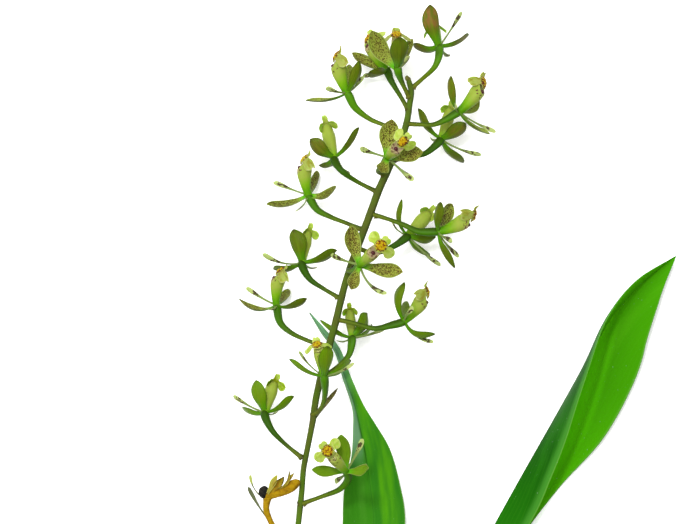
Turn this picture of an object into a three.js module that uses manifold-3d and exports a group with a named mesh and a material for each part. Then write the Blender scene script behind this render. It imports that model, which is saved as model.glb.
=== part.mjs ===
// A cut flowering shoot of an epidendrum orchid, lying face up on a table. Millimetres, +Z up.
// Shapes are laid out on a sheet ruled in half millimetres, x to the right and y down the sheet,
// with heights above the table in millimetres.
import * as THREE from "three";
import { mergeVertices } from "three/addons/utils/BufferGeometryUtils.js";
import Module from "manifold-3d";

const wasm = await Module();
wasm.setup();

// Driving dimensions
const rule = 0.5; // one ruled square
const sheetX = 455; // sheet position that lies on the origin
const sheetY = 448.5;
const seat = 0.3; // clearance between neighbouring pieces
const bladeThick = 0.9; // sepals, at the middle line
const rimThick = 0.62; // every blade, at its edge
const leafThick = 1.3;
const ovaryRadius = 2.1;
const stalkRadius = 1.15; // a flower stalk where it leaves the stem
const lipThick = 0.9;

const rad = THREE.MathUtils.degToRad;
const vec = (x, y, z) => new THREE.Vector3(x, y, z);
const at = ([x, y, z]) => vec((x - sheetX) * rule, (sheetY - y) * rule, z);
const mix = (a, b, t) => a + (b - a) * t;

// Value of a curve given as rising [t, value] pairs
function read(pairs, t) {
  for (let i = 1; i < pairs.length; i++) {
    const [t0, v0] = pairs[i - 1];
    const [t1, v1] = pairs[i];
    if (t <= t1) return mix(v0, v1, Math.max(0, (t - t0) / (t1 - t0)));
  }
  return pairs[pairs.length - 1][1];
}

function solid(points, faces) {
  const flat = new THREE.BufferGeometry();
  flat.setAttribute("position", new THREE.Float32BufferAttribute(points.flatMap((p) => [p.x, p.y, p.z]), 3));
  flat.setIndex(faces.flat());
  return toManifold(flat);
}

function toManifold(geometry) {
  const bare = geometry.index ? geometry.toNonIndexed() : geometry.clone();
  bare.deleteAttribute("normal");
  bare.deleteAttribute("uv");
  const merged = mergeVertices(bare, 1e-4);
  const body = new wasm.Manifold(new wasm.Mesh({
    numProp: 3,
    vertProperties: merged.attributes.position.array,
    triVerts: new Uint32Array(merged.index.array),
  }));
  return body.volume() < 0 ? turned(merged) : body;
}

function turned(merged) {
  const index = Array.from(merged.index.array);
  for (let i = 0; i < index.length; i += 3) [index[i], index[i + 1]] = [index[i + 1], index[i]];
  return new wasm.Manifold(new wasm.Mesh({
    numProp: 3,
    vertProperties: merged.attributes.position.array,
    triVerts: new Uint32Array(index),
  }));
}

const fuse = (bodies) => bodies.reduce((all, body) => all.add(body));

// Closed body through rings of points, with a flat cap at each end
function loft(rings) {
  const sides = rings[0].length;
  const faces = [];
  const at = (i, j) => i * sides + (j % sides);
  for (let i = 0; i < rings.length - 1; i++)
    for (let j = 0; j < sides; j++)
      faces.push([at(i, j), at(i, j + 1), at(i + 1, j + 1)], [at(i, j), at(i + 1, j + 1), at(i + 1, j)]);
  const end = rings.length - 1;
  for (let j = 1; j < sides - 1; j++)
    faces.push([at(0, 0), at(0, j + 1), at(0, j)], [at(end, 0), at(end, j), at(end, j + 1)]);
  return solid(rings.flat(), faces);
}

// Closed tube along points; radius(t) gives [across, upright]; sides is the ring count
function tube(points, radius, sides, steps, hint) {
  const curve = new THREE.CatmullRomCurve3(points, false, "centripetal");
  const rings = [];
  for (let i = 0; i <= steps; i++) {
    const t = i / steps;
    const centre = curve.getPointAt(t);
    const along = curve.getTangentAt(t);
    const side = vec().crossVectors(along, hint ?? vec(0, 0, 1)).normalize();
    const up = vec().crossVectors(side, along).normalize();
    const [wide, high] = [radius(t)].flat().length === 2 ? radius(t) : [radius(t), radius(t)];
    rings.push(Array.from({ length: sides }, (_, j) => {
      const turn = (2 * Math.PI * j) / sides - Math.PI / 2;
      return centre.clone()
        .addScaledVector(side, wide * Math.cos(turn))
        .addScaledVector(up, high * Math.sin(turn));
    }));
  }
  return loft(rings);
}

// Closed blade from a grid of middle-surface points, with the same split on both faces
function sheet(grid, thick) {
  const rows = grid.length;
  const cols = grid[0].length;
  const points = [];
  const normalAt = (i, j) => {
    const a = grid[Math.min(i + 1, rows - 1)][j].clone().sub(grid[Math.max(i - 1, 0)][j]);
    const b = grid[i][Math.min(j + 1, cols - 1)].clone().sub(grid[i][Math.max(j - 1, 0)]);
    return vec().crossVectors(b, a).normalize();
  };
  for (const face of [0.5, -0.5])
    for (let i = 0; i < rows; i++)
      for (let j = 0; j < cols; j++) {
        const reach = face * thick(i / (rows - 1), j / (cols - 1));
        points.push(grid[i][j].clone().addScaledVector(normalAt(i, j), reach));
      }
  const top = (i, j) => i * cols + j;
  const under = (i, j) => rows * cols + i * cols + j;
  const faces = [];
  for (let i = 0; i < rows - 1; i++)
    for (let j = 0; j < cols - 1; j++) {
      const left = j < (cols - 1) / 2;
      for (const [cell, flip] of [[top, 0], [under, 1]]) {
        const [a, b, c, d] = [cell(i, j), cell(i, j + 1), cell(i + 1, j + 1), cell(i + 1, j)];
        const pair = left ? [[a, b, c], [a, c, d]] : [[a, b, d], [b, c, d]];
        faces.push(...(flip ? pair.map(([p, q, r]) => [p, r, q]) : pair));
      }
    }
  const rim = [];
  for (let j = 0; j < cols - 1; j++) rim.push([0, j]);
  for (let i = 0; i < rows - 1; i++) rim.push([i, cols - 1]);
  for (let j = cols - 1; j > 0; j--) rim.push([rows - 1, j]);
  for (let i = rows - 1; i > 0; i--) rim.push([i, 0]);
  rim.forEach(([i, j], n) => {
    const [k, l] = rim[(n + 1) % rim.length];
    faces.push([top(i, j), under(i, j), under(k, l)], [top(i, j), under(k, l), top(k, l)]);
  });
  return solid(points, faces);
}

// Flower frame: w along the flower, u towards the lip, v across
function flowerFrame([turn, tilt, roll]) {
  const [a, t, r] = [rad(turn), rad(tilt), rad(roll)];
  const flat = vec(Math.cos(a), Math.sin(a), 0);
  const left = vec(-Math.sin(a), Math.cos(a), 0);
  const w = flat.clone().multiplyScalar(Math.cos(t)).add(vec(0, 0, Math.sin(t)));
  const down = flat.clone().multiplyScalar(Math.sin(t)).add(vec(0, 0, -Math.cos(t)));
  const u = down.multiplyScalar(Math.cos(r)).addScaledVector(left, Math.sin(r));
  return { w, u, v: vec().crossVectors(w, u) };
}

const sepalShape = [[0.09, 0.42], [0.28, 0.5], [0.6, 1], [0.83, 0.8], [1, 0.14]];
const petalShape = [[0.09, 0.45], [0.5, 0.45], [0.8, 1], [1, 0.45]];

// Sepal or petal from the flower's heart to its tip. bow: how far its middle lies behind the chord;
// swing: how far to the left of it on the sheet; face: turn of its inner side away from straight up,
// to the right of the chord, or null to face the way the flower does
function blade(heart, tip, facing, wide, shape, cols, cup, bow, thick, swing = 0, face = null) {
  const along = tip.clone().sub(heart);
  const square = (a) => a.clone().addScaledVector(along, -a.dot(along) / along.lengthSq()).normalize();
  const upright = square(vec(0, 0, 1));
  const normal = face === null ? square(facing) : upright.clone().multiplyScalar(Math.cos(rad(face)))
    .addScaledVector(vec().crossVectors(along, upright).normalize(), Math.sin(rad(face)));
  const across = vec().crossVectors(along, normal).normalize();
  const left = vec(-along.y, along.x, 0).normalize();
  const grid = shape.map(([t, share]) => {
    const half = (wide * share) / 2;
    const middle = heart.clone().addScaledVector(along, t).addScaledVector(normal, -4 * bow * t * (1 - t))
      .addScaledVector(left, 4 * swing * t * (1 - t));
    return Array.from({ length: cols }, (_, j) => {
      const s = -1 + (2 * j) / (cols - 1);
      return middle.clone().addScaledVector(across, s * half).addScaledVector(normal, cup * half * s * s);
    });
  });
  return sheet(grid, (t, s) => mix(thick, rimThick, Math.abs(2 * s - 1)));
}

// Column and lip claw, one flaring throat. Each ring: [w, u] of its back edge, [w, u] of its lip edge,
// half breadth
const throat = [
  [[-1.2, -1.9], [-1.2, 1.9], 1.7], [[3.4, -1.3], [3.2, 3.4], 2.2], [[8, -0.5], [7.6, 6.4], 2.8],
  [[12.2, 0.6], [12.4, 9.2], 3.2], [[14.3, 1.7], [16.6, 9.7], 2.9],
];
function column(heart, { w, u, v }, size, full, grow) {
  return loft(throat.map(([[backW, backU], [lipW, lipU], half], i) => {
    const forward = i === throat.length - 1 ? grow : 0;
    const place = (a, b) => heart.clone().addScaledVector(w, a * size + forward).addScaledVector(u, b * size);
    const [from, to] = [place(backW, backU), place(lipW, lipU)];
    const middle = from.clone().add(to).divideScalar(2);
    const reach = to.clone().sub(from).divideScalar(2);
    reach.setLength(reach.length() + grow);
    return Array.from({ length: 7 }, (_, j) => {
      const turn = (2 * Math.PI * j) / 7;
      return middle.clone().addScaledVector(reach, Math.cos(turn))
        .addScaledVector(v, (half * full * size + grow) * Math.sin(turn));
    });
  }));
}

// Lip across the throat's mouth: two swept-back side lobes, a middle lobe and a raised callus.
// Each row: place along the lip, half breadth of its flat middle, half breadth out to the lobes' edge
const lipSlope = 72; // degrees off the flower axis
const lipRows = [
  [1.6, 2.7, 5.8], [4.2, 3.2, 7.9], [6.6, 2.9, 6.7], [7.5, 1.4, 2.8], [9.8, 1.5, 3], [11.6, 0.5, 1],
];
function lip(heart, { w, u, v }, size, spread, fold) {
  const slope = rad(lipSlope);
  const out = w.clone().multiplyScalar(Math.cos(slope)).addScaledVector(u, Math.sin(slope));
  const face = w.clone().multiplyScalar(Math.sin(slope)).addScaledVector(u, -Math.cos(slope));
  const foot = heart.clone().addScaledVector(w, 15.5 * size).addScaledVector(u, 2.9 * size);
  const place = (x, y, flat) => {
    const over = Math.max(0, Math.abs(x) - flat);
    return foot.clone()
      .addScaledVector(v, x * size * (x < 0 ? spread[0] : spread[1]))
      .addScaledVector(out, (y + 0.12 * Math.abs(x)) * size)
      .addScaledVector(w, -fold[0] * over * size)
      .addScaledVector(u, fold[1] * over * size)
      .addScaledVector(face, 0.08 * Math.max(0, y - 7) ** 2 * size);
  };
  const grid = lipRows.map(([y, flat, edge]) => [-edge, -flat, 0, flat, edge].map((x) => place(x, y, flat)));
  const callus = (t, s) => (s === 0.5 && t > 0.1 && t < 0.65 ? 2.4 * lipThick : lipThick);
  return sheet(grid, callus);
}

// Stem: cane, flower stem and its tip
const stemLine = [
  [344, 892, 5.95], [343, 868, 5.99], [340, 838, 6.2], [334, 806, 7.2], [329, 784, 8.4], [314, 734, 11.5],
  [301, 674, 16], [294.5, 612, 20], [294, 562, 22.5], [298.4, 523, 24], [301.8, 491, 24], [303.6, 469, 24],
  [307.8, 447, 24], [312.6, 422, 24], [316, 399, 24], [322, 373, 24], [328.8, 347, 24], [335.5, 323, 24],
  [340.7, 301, 24], [346.5, 279, 24], [355, 254, 24], [364, 230, 24], [371.2, 211, 24], [378.4, 191, 24],
  [387, 172, 24], [398, 147, 24], [405.8, 126, 24], [409.6, 104, 24], [411.2, 91, 24], [407.8, 78, 24],
];
const stemGirth = [
  [0, 5.6], [0.03, 6], [0.09, 5.5], [0.11, 3.4], [0.14, 2.5], [0.25, 1.9], [0.45, 1.65], [0.55, 1.65],
  [0.6, 1.95], [0.75, 1.95], [0.86, 2.1], [0.93, 1.85], [0.97, 1.65], [1, 1.45],
];
const stemTube = (grow) => tube(stemLine.map(at), (t) => read(stemGirth, t) + grow, 8, 36);

function bract() {
  return blade(at([314.5, 420, 22.8]), at([338, 388, 22]), vec(0.6, 0.2, 1), 2.3, [[0, 1], [0.4, 1], [1, 0.3]],
    3, 0.5, 1, 0.8);
}

// The flowers, counted down the stem. centre: the heart; axis: [turn, tilt, roll] of the flower;
// spread: reach of the lip's left and right lobes; fold: how far they bend back and out;
// full: breadth of the throat;
// sepals: tip x, tip y, rise of the tip over the heart, breadth, swing, face; petals: the same, less breadth;
// stalk: way points from the stem to the heart
const blooms = [
  { centre: [439, 47, 29], axis: [106, -25, 0], size: 0.95, spread: [0.78, 0.78],
    sepals: [[429.5, 5, 4, 8.7, 1.3], [414, 46, -14, 9, 0.4, 120], [469, 34, -11, 8]],
    petals: [[462, 12, -4, 0.6, -135], [449, 56, -13]],
    stalk: [[410.5, 89, 23.4], [421, 80, 25], [436, 65, 32]] },
  { centre: [398, 69, 36], axis: [93, 17, 0], size: 0.89,
    sepals: [[399, 38, 15, 9.5], [371.5, 31.5, 2.5, 9.4, 2, 0], [412.5, 38.5, -11, 6, 0.8]],
    petals: [[408, 57, 12], [383, 56, -9]],
    stalk: [[408.8, 97, 24.3], [403, 85, 28.5], [399, 75, 34]] },
  { centre: [386, 70, 19], axis: [136, 0, -40], size: 1,
    sepals: [[352, 52, -4, 8.5], [369, 72, 15, 7.5], [405, 40, -3, 7]],
    petals: [[363, 75, -9, 0, 42], [398, 55, -13, 0, -50]],
    stalk: [[408, 110, 24], [402, 99, 23], [391, 80, 22]] },
  { centre: [347, 93, 24], axis: [131, 5, -90], size: 1, fold: [1.25, -0.1], spread: [0.8, 0.8],
    sepals: [[305, 100, -2, 7.5], [359, 61, 6, 8, 0, -128], [348, 64, -13, 8]],
    petals: [[326, 88, 10, 0, 145], [363, 76, -7, 0, -45]],
    stalk: [[402, 135, 24], [386, 126, 23], [370, 119, 22], [355, 107, 23]] },
  { centre: [387.5, 158, 44], axis: [46, 81, 0], size: 1, spread: [0.75, 0.75],
    sepals: [[391.5, 120, 4, 9.6, 0.8], [422.5, 152.5, 7, 8.4], [381, 173, 15, 7]],
    petals: [[360, 149, 7], [413, 181, 5]],
    stalk: [[385, 174, 24], [378, 172, 30], [382, 166, 38]] },
  { centre: [334, 158, 20], axis: [103, -38, 178], size: 0.92, spread: [0.5, 0.78], full: 1.1,
    sepals: [[310, 139, 5, 8.5], [359, 127, 1, 7.5, 0, -115], [321, 166, -15, 7]],
    petals: [[349, 175, -12], [313, 146, 3]],
    stalk: [[377, 192, 24], [356, 181, 24], [342, 171, 26]] },
  { centre: [308, 195, 16], axis: [121, 5, -90], size: 0.95, fold: [1.25, -0.1], spread: [0.8, 0.8],
    sepals: [[266, 204, -1, 7.5, 0.7, 58], [336, 186.5, 11, 7.6, -1.4, -52], [316, 170, -13.5, 7]],
    petals: [[273, 182, -5, -0.5, 35], [296, 211, 9]],
    stalk: [[363, 230, 24], [346, 223, 22.5], [331, 217, 20], [317, 209, 17]] },
  { centre: [459, 112, 26], axis: [30, 10, 55], size: 1, fold: [1.15, -0.05], spread: [0.8, 0.8],
    sepals: [[451, 76, 8, 7.5, 0.8, 118], [480, 100, -14, 8], [490, 134, 0, 8]],
    petals: [[456, 105, 12], [496, 132, -5, 0, -45]],
    stalk: [[406, 123.5, 24], [420.5, 124.5, 24], [434, 124.5, 25], [448, 118.5, 26]] },
  { centre: [441, 139, 16], axis: [65, -32, 163], size: 0.85, spread: [0.6, 0.6], full: 1.1,
    sepals: [[466, 123, 7, 8.5], [418.5, 108, 0, 6.5, 0.5], [464, 162, -14.5, 7]],
    petals: [[481.5, 155, -4, -0.4, -140], [431, 138, -12, 0, 140]],
    stalk: [[393, 160, 24], [411, 157, 21], [426, 153, 19]] },
  { centre: [438, 232, 27], axis: [0, 2, 90], size: 1.02, fold: [1.25, -0.1], spread: [0.8, 0.8],
    sepals: [[441, 202, 12, 7, 0, 130], [453, 204, -12, 9, 0, 40], [455, 268, 0, 7.5, 0, -115]],
    petals: [[452, 241, 12], [459, 257, -8, 0, -40]],
    stalk: [[369, 213, 24], [391, 220, 25], [404, 225, 26], [418, 231.5, 27]] },
  { centre: [408, 236, 17], axis: [46, -36, 176], size: 0.85, spread: [0.62, 0.62], full: 1.3,
    sepals: [[402, 199, 0, 7, 1.8, 110], [436, 237, 0, 8.5], [430, 256, -12, 7]],
    petals: [[440.6, 266, -4, 0, -140], [392, 222, -11]],
    stalk: [[357, 248, 24], [376, 253, 21], [394, 246, 19]] },
  { centre: [360, 265, 44], axis: [43, 68, 0], size: 1,
    sepals: [[350.3, 226, 3, 8.8, 0.3], [402.5, 272, 5, 8], [351, 289, 13, 6.4]],
    petals: [[331, 255, 7], [386, 294, 4, -2.4]],
    stalk: [[352, 262, 24], [348, 270, 30], [354, 270, 37]] },
  { centre: [302, 263, 16.5], axis: [88, -38, -161], size: 0.86, spread: [0.5, 0.75], full: 1.1,
    sepals: [[293.5, 229, 3, 9, -0.8], [337, 250, 0, 8, 0, -125], [273, 269, -14, 6.6]],
    petals: [[262.5, 254, 9, 1.4, 140], [316, 268, -11]],
    stalk: [[341, 299, 24], [324, 289, 22.5], [310, 279, 21]] },
  { centre: [276, 305, 17], axis: [108, 6, -90], size: 0.9, fold: [1.25, -0.1], spread: [0.8, 0.8],
    sepals: [[307, 298, 9, 7.5, -1, -112], [238.5, 298.5, -3, 6.6, 2.2, 72], [286, 289, -15.4, 7.5]],
    petals: [[246, 287.5, -6, 0, 35], [270, 309, 12]],
    stalk: [[327.6, 347.6, 24], [306, 340, 22.5], [290, 332, 20], [280, 322, 18]] },
  { centre: [404, 321.5, 26], axis: [27, 2, 90], size: 0.97, fold: [1.25, -0.1], spread: [0.8, 0.8],
    sepals: [[404.5, 282, 5, 7.5, 2.2, 124], [409, 303, -16, 8], [435.5, 334, -2, 8, -2.4, -115]],
    petals: [[413, 307, 11], [433.5, 342.5, -4, -1.5, -45]],
    stalk: [[336, 319, 24], [357, 324, 24.5], [375, 328.5, 25], [393, 325, 26]] },
  { centre: [352, 338, 17], axis: [95, -38, 180], size: 0.74, spread: [0.64, 0.66], full: 1.1,
    sepals: [[367, 313, -6, 8.5, 0, -137], [372, 325, -12, 7], [320, 320, -3, 6.5, 0, 112]],
    petals: [[337, 341, -10], [385, 329, -3, 0, -140]],
    stalk: [[321, 377, 24], [336, 368, 20], [349, 355, 19]] },
  { centre: [324, 376, 47], axis: [102, 24, 0], size: 0.84,
    sepals: [[327, 345, 14, 8, 0, -160], [289.5, 358.5, -3, 7, 0, 110], [351, 360, -10, 7.5, 0, -122]],
    petals: [[299, 351, 0, 0, 60], [354, 363, 4, 0, -50]],
    stalk: [[313, 415, 24], [321, 408, 31], [325, 395, 39]] },
  { centre: [265, 413, 19], axis: [82, -38, -161], size: 0.86, spread: [0.62, 0.8], full: 1.2,
    sepals: [[256, 380, 3, 8], [294, 396, 0, 7.5, 0, -118], [242, 408, -14, 7]],
    petals: [[233, 396, -4, 0, 140], [277, 412, -12]],
    stalk: [[302, 458, 24], [284, 443, 23.5], [272, 430, 23]] },
  { centre: [346, 471, 36], axis: [131, 66, 0], size: 0.95,
    sepals: [[341, 434, 3, 8], [312, 469, 3, 6], [368.5, 467, 13, 6]],
    petals: [[363, 438.5, 2], [335, 482, -9]],
    stalk: [[298, 505, 24], [323, 496, 25], [340, 489, 27], [348, 479, 31]] },
];

function flower({ centre, axis, size, spread = [1, 1], fold = [0.9, 0.29], full = 1, sepals, petals, stalk }) {
  const heart = at(centre);
  const frame = flowerFrame(axis);
  const back = heart.clone().addScaledVector(frame.w, -1.2);
  const foot = heart.clone().addScaledVector(frame.w, 1.4);
  const stalkLength = [[0, stalkRadius * 1.25], [0.1, stalkRadius], [0.5, stalkRadius * 1.1],
    [0.85, ovaryRadius], [1, ovaryRadius * 0.95]];
  const pieces = [
    tube([...stalk.map(at), back, foot], (t) => read(stalkLength, t), 6, 5),
    column(heart, frame, size, full, 0),
  ];
  for (const [x, y, rise, wide, swing, face] of sepals)
    pieces.push(blade(heart, at([x, y, centre[2] + rise]), frame.w, wide, sepalShape, 3, 0.35, 2.2, bladeThick,
      swing, face));
  for (const [x, y, rise, swing, face] of petals)
    pieces.push(blade(heart, at([x, y, centre[2] + rise]), frame.w, 2.6, petalShape, 2, 0, 1.2, rimThick + 0.1,
      swing, face));
  const head = lip(heart, frame, size, spread, fold).subtract(column(heart, frame, size, full, seat));
  return { body: fuse(pieces), head };
}

// Leaf along its keel: [x, y, height, left half, right half, left fold, right fold, roll]
function leaf(stations, steps) {
  const curve = new THREE.CatmullRomCurve3(stations.map(at), false, "centripetal");
  const spread = new THREE.CatmullRomCurve3(stations.map(([, , , l, r, , , roll]) => vec(l, r, roll)));
  const folds = new THREE.CatmullRomCurve3(stations.map(([, , , , , l, r]) => vec(l, r, 0)));
  const grid = [];
  for (let i = 0; i <= steps; i++) {
    const t = i / steps;
    const { x: leftHalf, y: rightHalf, z: roll } = spread.getPoint(t);
    const { x: leftFold, y: rightFold } = folds.getPoint(t);
    const keel = curve.getPoint(t);
    const along = curve.getTangent(t);
    const aside = vec().crossVectors(along, vec(0, 0, 1)).normalize();
    const above = vec().crossVectors(aside, along);
    const normal = above.clone().multiplyScalar(Math.cos(rad(roll))).addScaledVector(aside, Math.sin(rad(roll)));
    const side = vec().crossVectors(along, normal).normalize();
    const edge = (sign, half, fold, s) => keel.clone()
      .addScaledVector(side, sign * half * s * Math.cos(rad(fold)))
      .addScaledVector(normal, half * s * Math.sin(rad(fold)) - 0.05 * half * Math.sin(Math.PI * s));
    grid.push([
      edge(-1, leftHalf, leftFold, 1), edge(-1, leftHalf, leftFold, 0.5), keel,
      edge(1, rightHalf, rightFold, 0.5), edge(1, rightHalf, rightFold, 1),
    ]);
  }
  return sheet(grid, (t, s) => mix(leafThick, rimThick + 0.1, Math.abs(2 * s - 1)));
}

const backLeaf = [
  [331, 790, 4.6, 3.6, 3.6, 62, 62, 0], [336, 750, 4, 5, 5, 50, 50, 0], [351, 690, 3.6, 9, 9, 36, 36, 0],
  [365, 610, 3.2, 14, 14, 25, 25, 0], [374, 524, 3, 17.5, 17.5, 22, 22, 0], [371, 490, 3, 16, 16.5, 28, 22, 0],
  [366, 455, 3, 11, 14, 45, 24, 0], [360, 430, 3, 8, 9.6, 62, 25, 0], [354, 407, 3, 5.2, 5.2, 80, 20, 0],
  [344.5, 380, 3, 4, 3.8, 84, 15, 0], [335.5, 352, 3, 3, 2.8, 84, 15, 0], [321, 331, 3, 2.4, 2.2, 80, 15, 0],
  [309, 313, 3, 0.5, 0.5, 80, 15, 0],
];
const rightLeaf = [
  [354, 836, 9.2, 5, 5, 42, 42, -62], [362, 804, 8.6, 6, 6, 50, 50, -50], [384, 752, 8.4, 8, 8, 58, 58, -10],
  [412, 686, 8, 11, 11, 66, 66, 40], [450, 608, 7, 14, 14, 72, 72, 80], [496, 524, 5, 16, 16, 75, 78, 90],
  [528, 468, 3, 20, 20, 42, 88, 90], [559, 414, 1.6, 25, 27, 18, 96, 90], [588, 362, 1.4, 25, 27, 4, 97, 90],
  [611, 320, 2, 20, 23, -3, 98, 88], [642, 284, 3, 12, 14, -8, 98, 84], [677, 256, 4.5, 0.5, 0.5, -5, 95, 80],
];

// The withered flower: shrivelled stalk, a dark knot, a drooping orange lobe and dried shreds
function witheredFlower() {
  const stalk = tube([[296, 556, 22.5], [284, 540, 23], [271, 522, 23], [266, 508, 24], [267, 497, 25]].map(at),
    (t) => read([[0, 1.3], [0.7, 1.9], [1, 2.6]], t), 6, 6);
  const lobe = tube([[262, 494, 25], [274, 492, 26], [288, 488, 27.5], [299, 478.5, 29.5]].map(at),
    (t) => read([[0, 2.2], [0.3, 3.2], [0.7, 3.1], [1, 0.9]], t), 7, 5);
  const knot = new THREE.IcosahedronGeometry(2.9, 1);
  const spot = at([262.5, 492, 25]);
  knot.translate(spot.x, spot.y, spot.z);
  const heart = at([267, 494, 25.5]);
  const shred = (tip, wide, bow) => blade(heart, at(tip), vec(0.2, 0.3, 1), wide, petalShape, 2, 0, bow, 0.8);
  return fuse([
    stalk, lobe, toManifold(knot), shred([278, 475, 29], 6, -1), shred([293, 472, 30], 3, -2),
    shred([250, 475, 24], 2.4, -2),
    blade(at([273, 524, 22.8]), at([248.5, 486.5, 22]), vec(0.3, 0, 1), 2.2, petalShape, 2, 0, 1.5, 0.8),
  ]);
}

const lowest = (body) => {
  const { vertProperties } = body.getMesh();
  return vertProperties.reduce((low, value, i) => (i % 3 === 2 ? Math.min(low, value) : low), Infinity);
};

// The same body moved straight up or down
function raised(body, rise) {
  const { vertProperties, triVerts } = body.getMesh();
  const moved = vertProperties.map((value, i) => (i % 3 === 2 ? value + rise : value));
  return new wasm.Manifold(new wasm.Mesh({ numProp: 3, vertProperties: moved, triVerts }));
}

// Geometry of a body's outer shell: pockets sealed in by the joins are filled, chips left by a cut dropped
function shellGeometry(body) {
  const { vertProperties, triVerts } = body.getMesh();
  const raw = new THREE.BufferGeometry();
  raw.setAttribute("position", new THREE.BufferAttribute(new Float32Array(vertProperties), 3));
  raw.setIndex(new THREE.BufferAttribute(new Uint32Array(triVerts), 1));
  const merged = mergeVertices(raw, 1e-4);
  const index = Array.from(merged.index.array);
  const parent = Array.from({ length: merged.attributes.position.count }, (_, i) => i);
  const rootOf = (i) => {
    while (parent[i] !== i) i = parent[i] = parent[parent[i]];
    return i;
  };
  for (let i = 0; i < index.length; i += 3) {
    parent[rootOf(index[i])] = rootOf(index[i + 1]);
    parent[rootOf(index[i + 1])] = rootOf(index[i + 2]);
  }
  const tally = new Map();
  for (let i = 0; i < index.length; i += 3) {
    const r = rootOf(index[i]);
    tally.set(r, (tally.get(r) ?? 0) + 1);
  }
  const [main] = [...tally].sort((x, y) => y[1] - x[1])[0];
  merged.setIndex(index.filter((_, i) => rootOf(index[i - (i % 3)]) === main));
  const shown = merged.toNonIndexed();
  shown.computeVertexNormals();
  return shown;
}

const greens = { stem: 0x67702f, bloom: 0x7f9636, lip: 0xd2c244, leaf: 0x3f8f1f, dried: 0xc98f28 };
const group = new THREE.Group();
function addPiece(name, body, colour) {
  const look = new THREE.MeshStandardMaterial({ color: colour, roughness: 0.5 });
  const made = new THREE.Mesh(shellGeometry(body), look);
  made.name = name;
  group.add(made);
}

const stemRoom = stemTube(seat);
const touching = [7, 9, 14];
addPiece("stem", fuse([stemTube(0), bract()]), greens.stem);
blooms.forEach((bloom, i) => {
  const count = String(i + 1).padStart(2, "0");
  let { body, head } = flower(bloom);
  if (touching.includes(i + 1)) {
    const rise = -lowest(body);
    body = raised(body, rise);
    head = raised(head, rise);
  }
  addPiece(`bloom_${count}`, body.subtract(stemRoom), greens.bloom);
  addPiece(`lip_${count}`, head, greens.lip);
});
addPiece("bloom_withered", witheredFlower().subtract(stemRoom), greens.dried);
for (const [name, stations] of [["leaf_back", backLeaf], ["leaf_right", rightLeaf]]) {
  const made = leaf(stations, 18);
  addPiece(name, raised(made, -lowest(made)).subtract(stemRoom), greens.leaf);
}

export default group;
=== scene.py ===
import math

import bpy
import numpy as np
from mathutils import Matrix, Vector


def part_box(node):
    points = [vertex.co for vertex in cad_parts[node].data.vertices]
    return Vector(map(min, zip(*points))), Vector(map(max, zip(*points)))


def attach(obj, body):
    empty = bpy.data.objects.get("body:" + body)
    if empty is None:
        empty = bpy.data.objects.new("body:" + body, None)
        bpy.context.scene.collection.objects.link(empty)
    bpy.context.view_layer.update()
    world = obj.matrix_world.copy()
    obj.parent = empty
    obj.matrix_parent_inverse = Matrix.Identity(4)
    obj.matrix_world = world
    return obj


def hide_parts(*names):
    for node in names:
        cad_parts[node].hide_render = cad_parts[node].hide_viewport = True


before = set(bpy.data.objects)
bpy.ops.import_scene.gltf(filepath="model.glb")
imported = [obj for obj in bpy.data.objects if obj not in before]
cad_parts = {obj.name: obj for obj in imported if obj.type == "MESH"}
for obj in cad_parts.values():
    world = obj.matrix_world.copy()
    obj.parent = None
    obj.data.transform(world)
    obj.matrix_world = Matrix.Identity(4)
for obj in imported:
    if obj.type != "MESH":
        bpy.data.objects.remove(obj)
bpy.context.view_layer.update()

scene = bpy.context.scene

# Places are laid out on a sheet ruled in half millimetres, x to the right and y down it.
# Heights above it, widths and thicknesses are millimetres
sheet = {"rule": 0.5, "midX": 455.0, "midY": 448.5}
mm = 0.001  # in metres
upward = np.array([0.0, 0.0, 1.0])


def at(x, y, z):
    return np.array([(x - sheet["midX"]) * sheet["rule"], (sheet["midY"] - y) * sheet["rule"], z])


def unit(a):
    return a / np.maximum(np.linalg.norm(a, axis=-1, keepdims=True), 1e-9)


def angles(count):  # evenly spaced round a circle
    return np.linspace(0, 2 * np.pi, count, endpoint=False)


def runAlong(points, power=1.0):  # the way gone at each point of a line, each step to that power
    return np.concatenate([[0], np.cumsum(np.linalg.norm(np.diff(points, axis=0), axis=1) ** power)])


def smooth(knots, values, t):  # soft curve through values given at rising knots
    knots, values = np.asarray(knots, float), np.asarray(values, float)
    t = np.clip(np.atleast_1d(t), knots[0], knots[-1])
    slopes = np.gradient(values, knots, axis=0)
    i = np.clip(np.searchsorted(knots, t, side="right") - 1, 0, len(knots) - 2)
    h = knots[i + 1] - knots[i]
    s = (t - knots[i]) / h
    if values.ndim > 1:
        s, h = s[:, None], h[:, None]
    return (values[i] * (1 + 2 * s) * (1 - s) ** 2 + slopes[i] * h * s * (1 - s) ** 2
            + values[i + 1] * s * s * (3 - 2 * s) + slopes[i + 1] * h * s * s * (s - 1))


def profile(pairs, t):
    pairs = np.array(pairs, float)
    return smooth(pairs[:, 0], pairs[:, 1], t)


def route(points, count):  # evenly spaced points on a soft curve through the given ones
    points = np.array(points, float)
    knots = runAlong(points, 0.5)
    dense = smooth(knots, points, np.linspace(0, knots[-1], count * 12))
    run = runAlong(dense)
    want = np.linspace(0, run[-1], count)
    return np.stack([np.interp(want, run, dense[:, k]) for k in range(3)], -1)


def placed(name, data, place=(0, 0, 0), turn=(0, 0, 0)):  # turned by degrees
    made = bpy.data.objects.new(name, data)
    made.location = place
    made.rotation_euler = [math.radians(a) for a in turn]
    scene.collection.objects.link(made)
    return made


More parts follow.
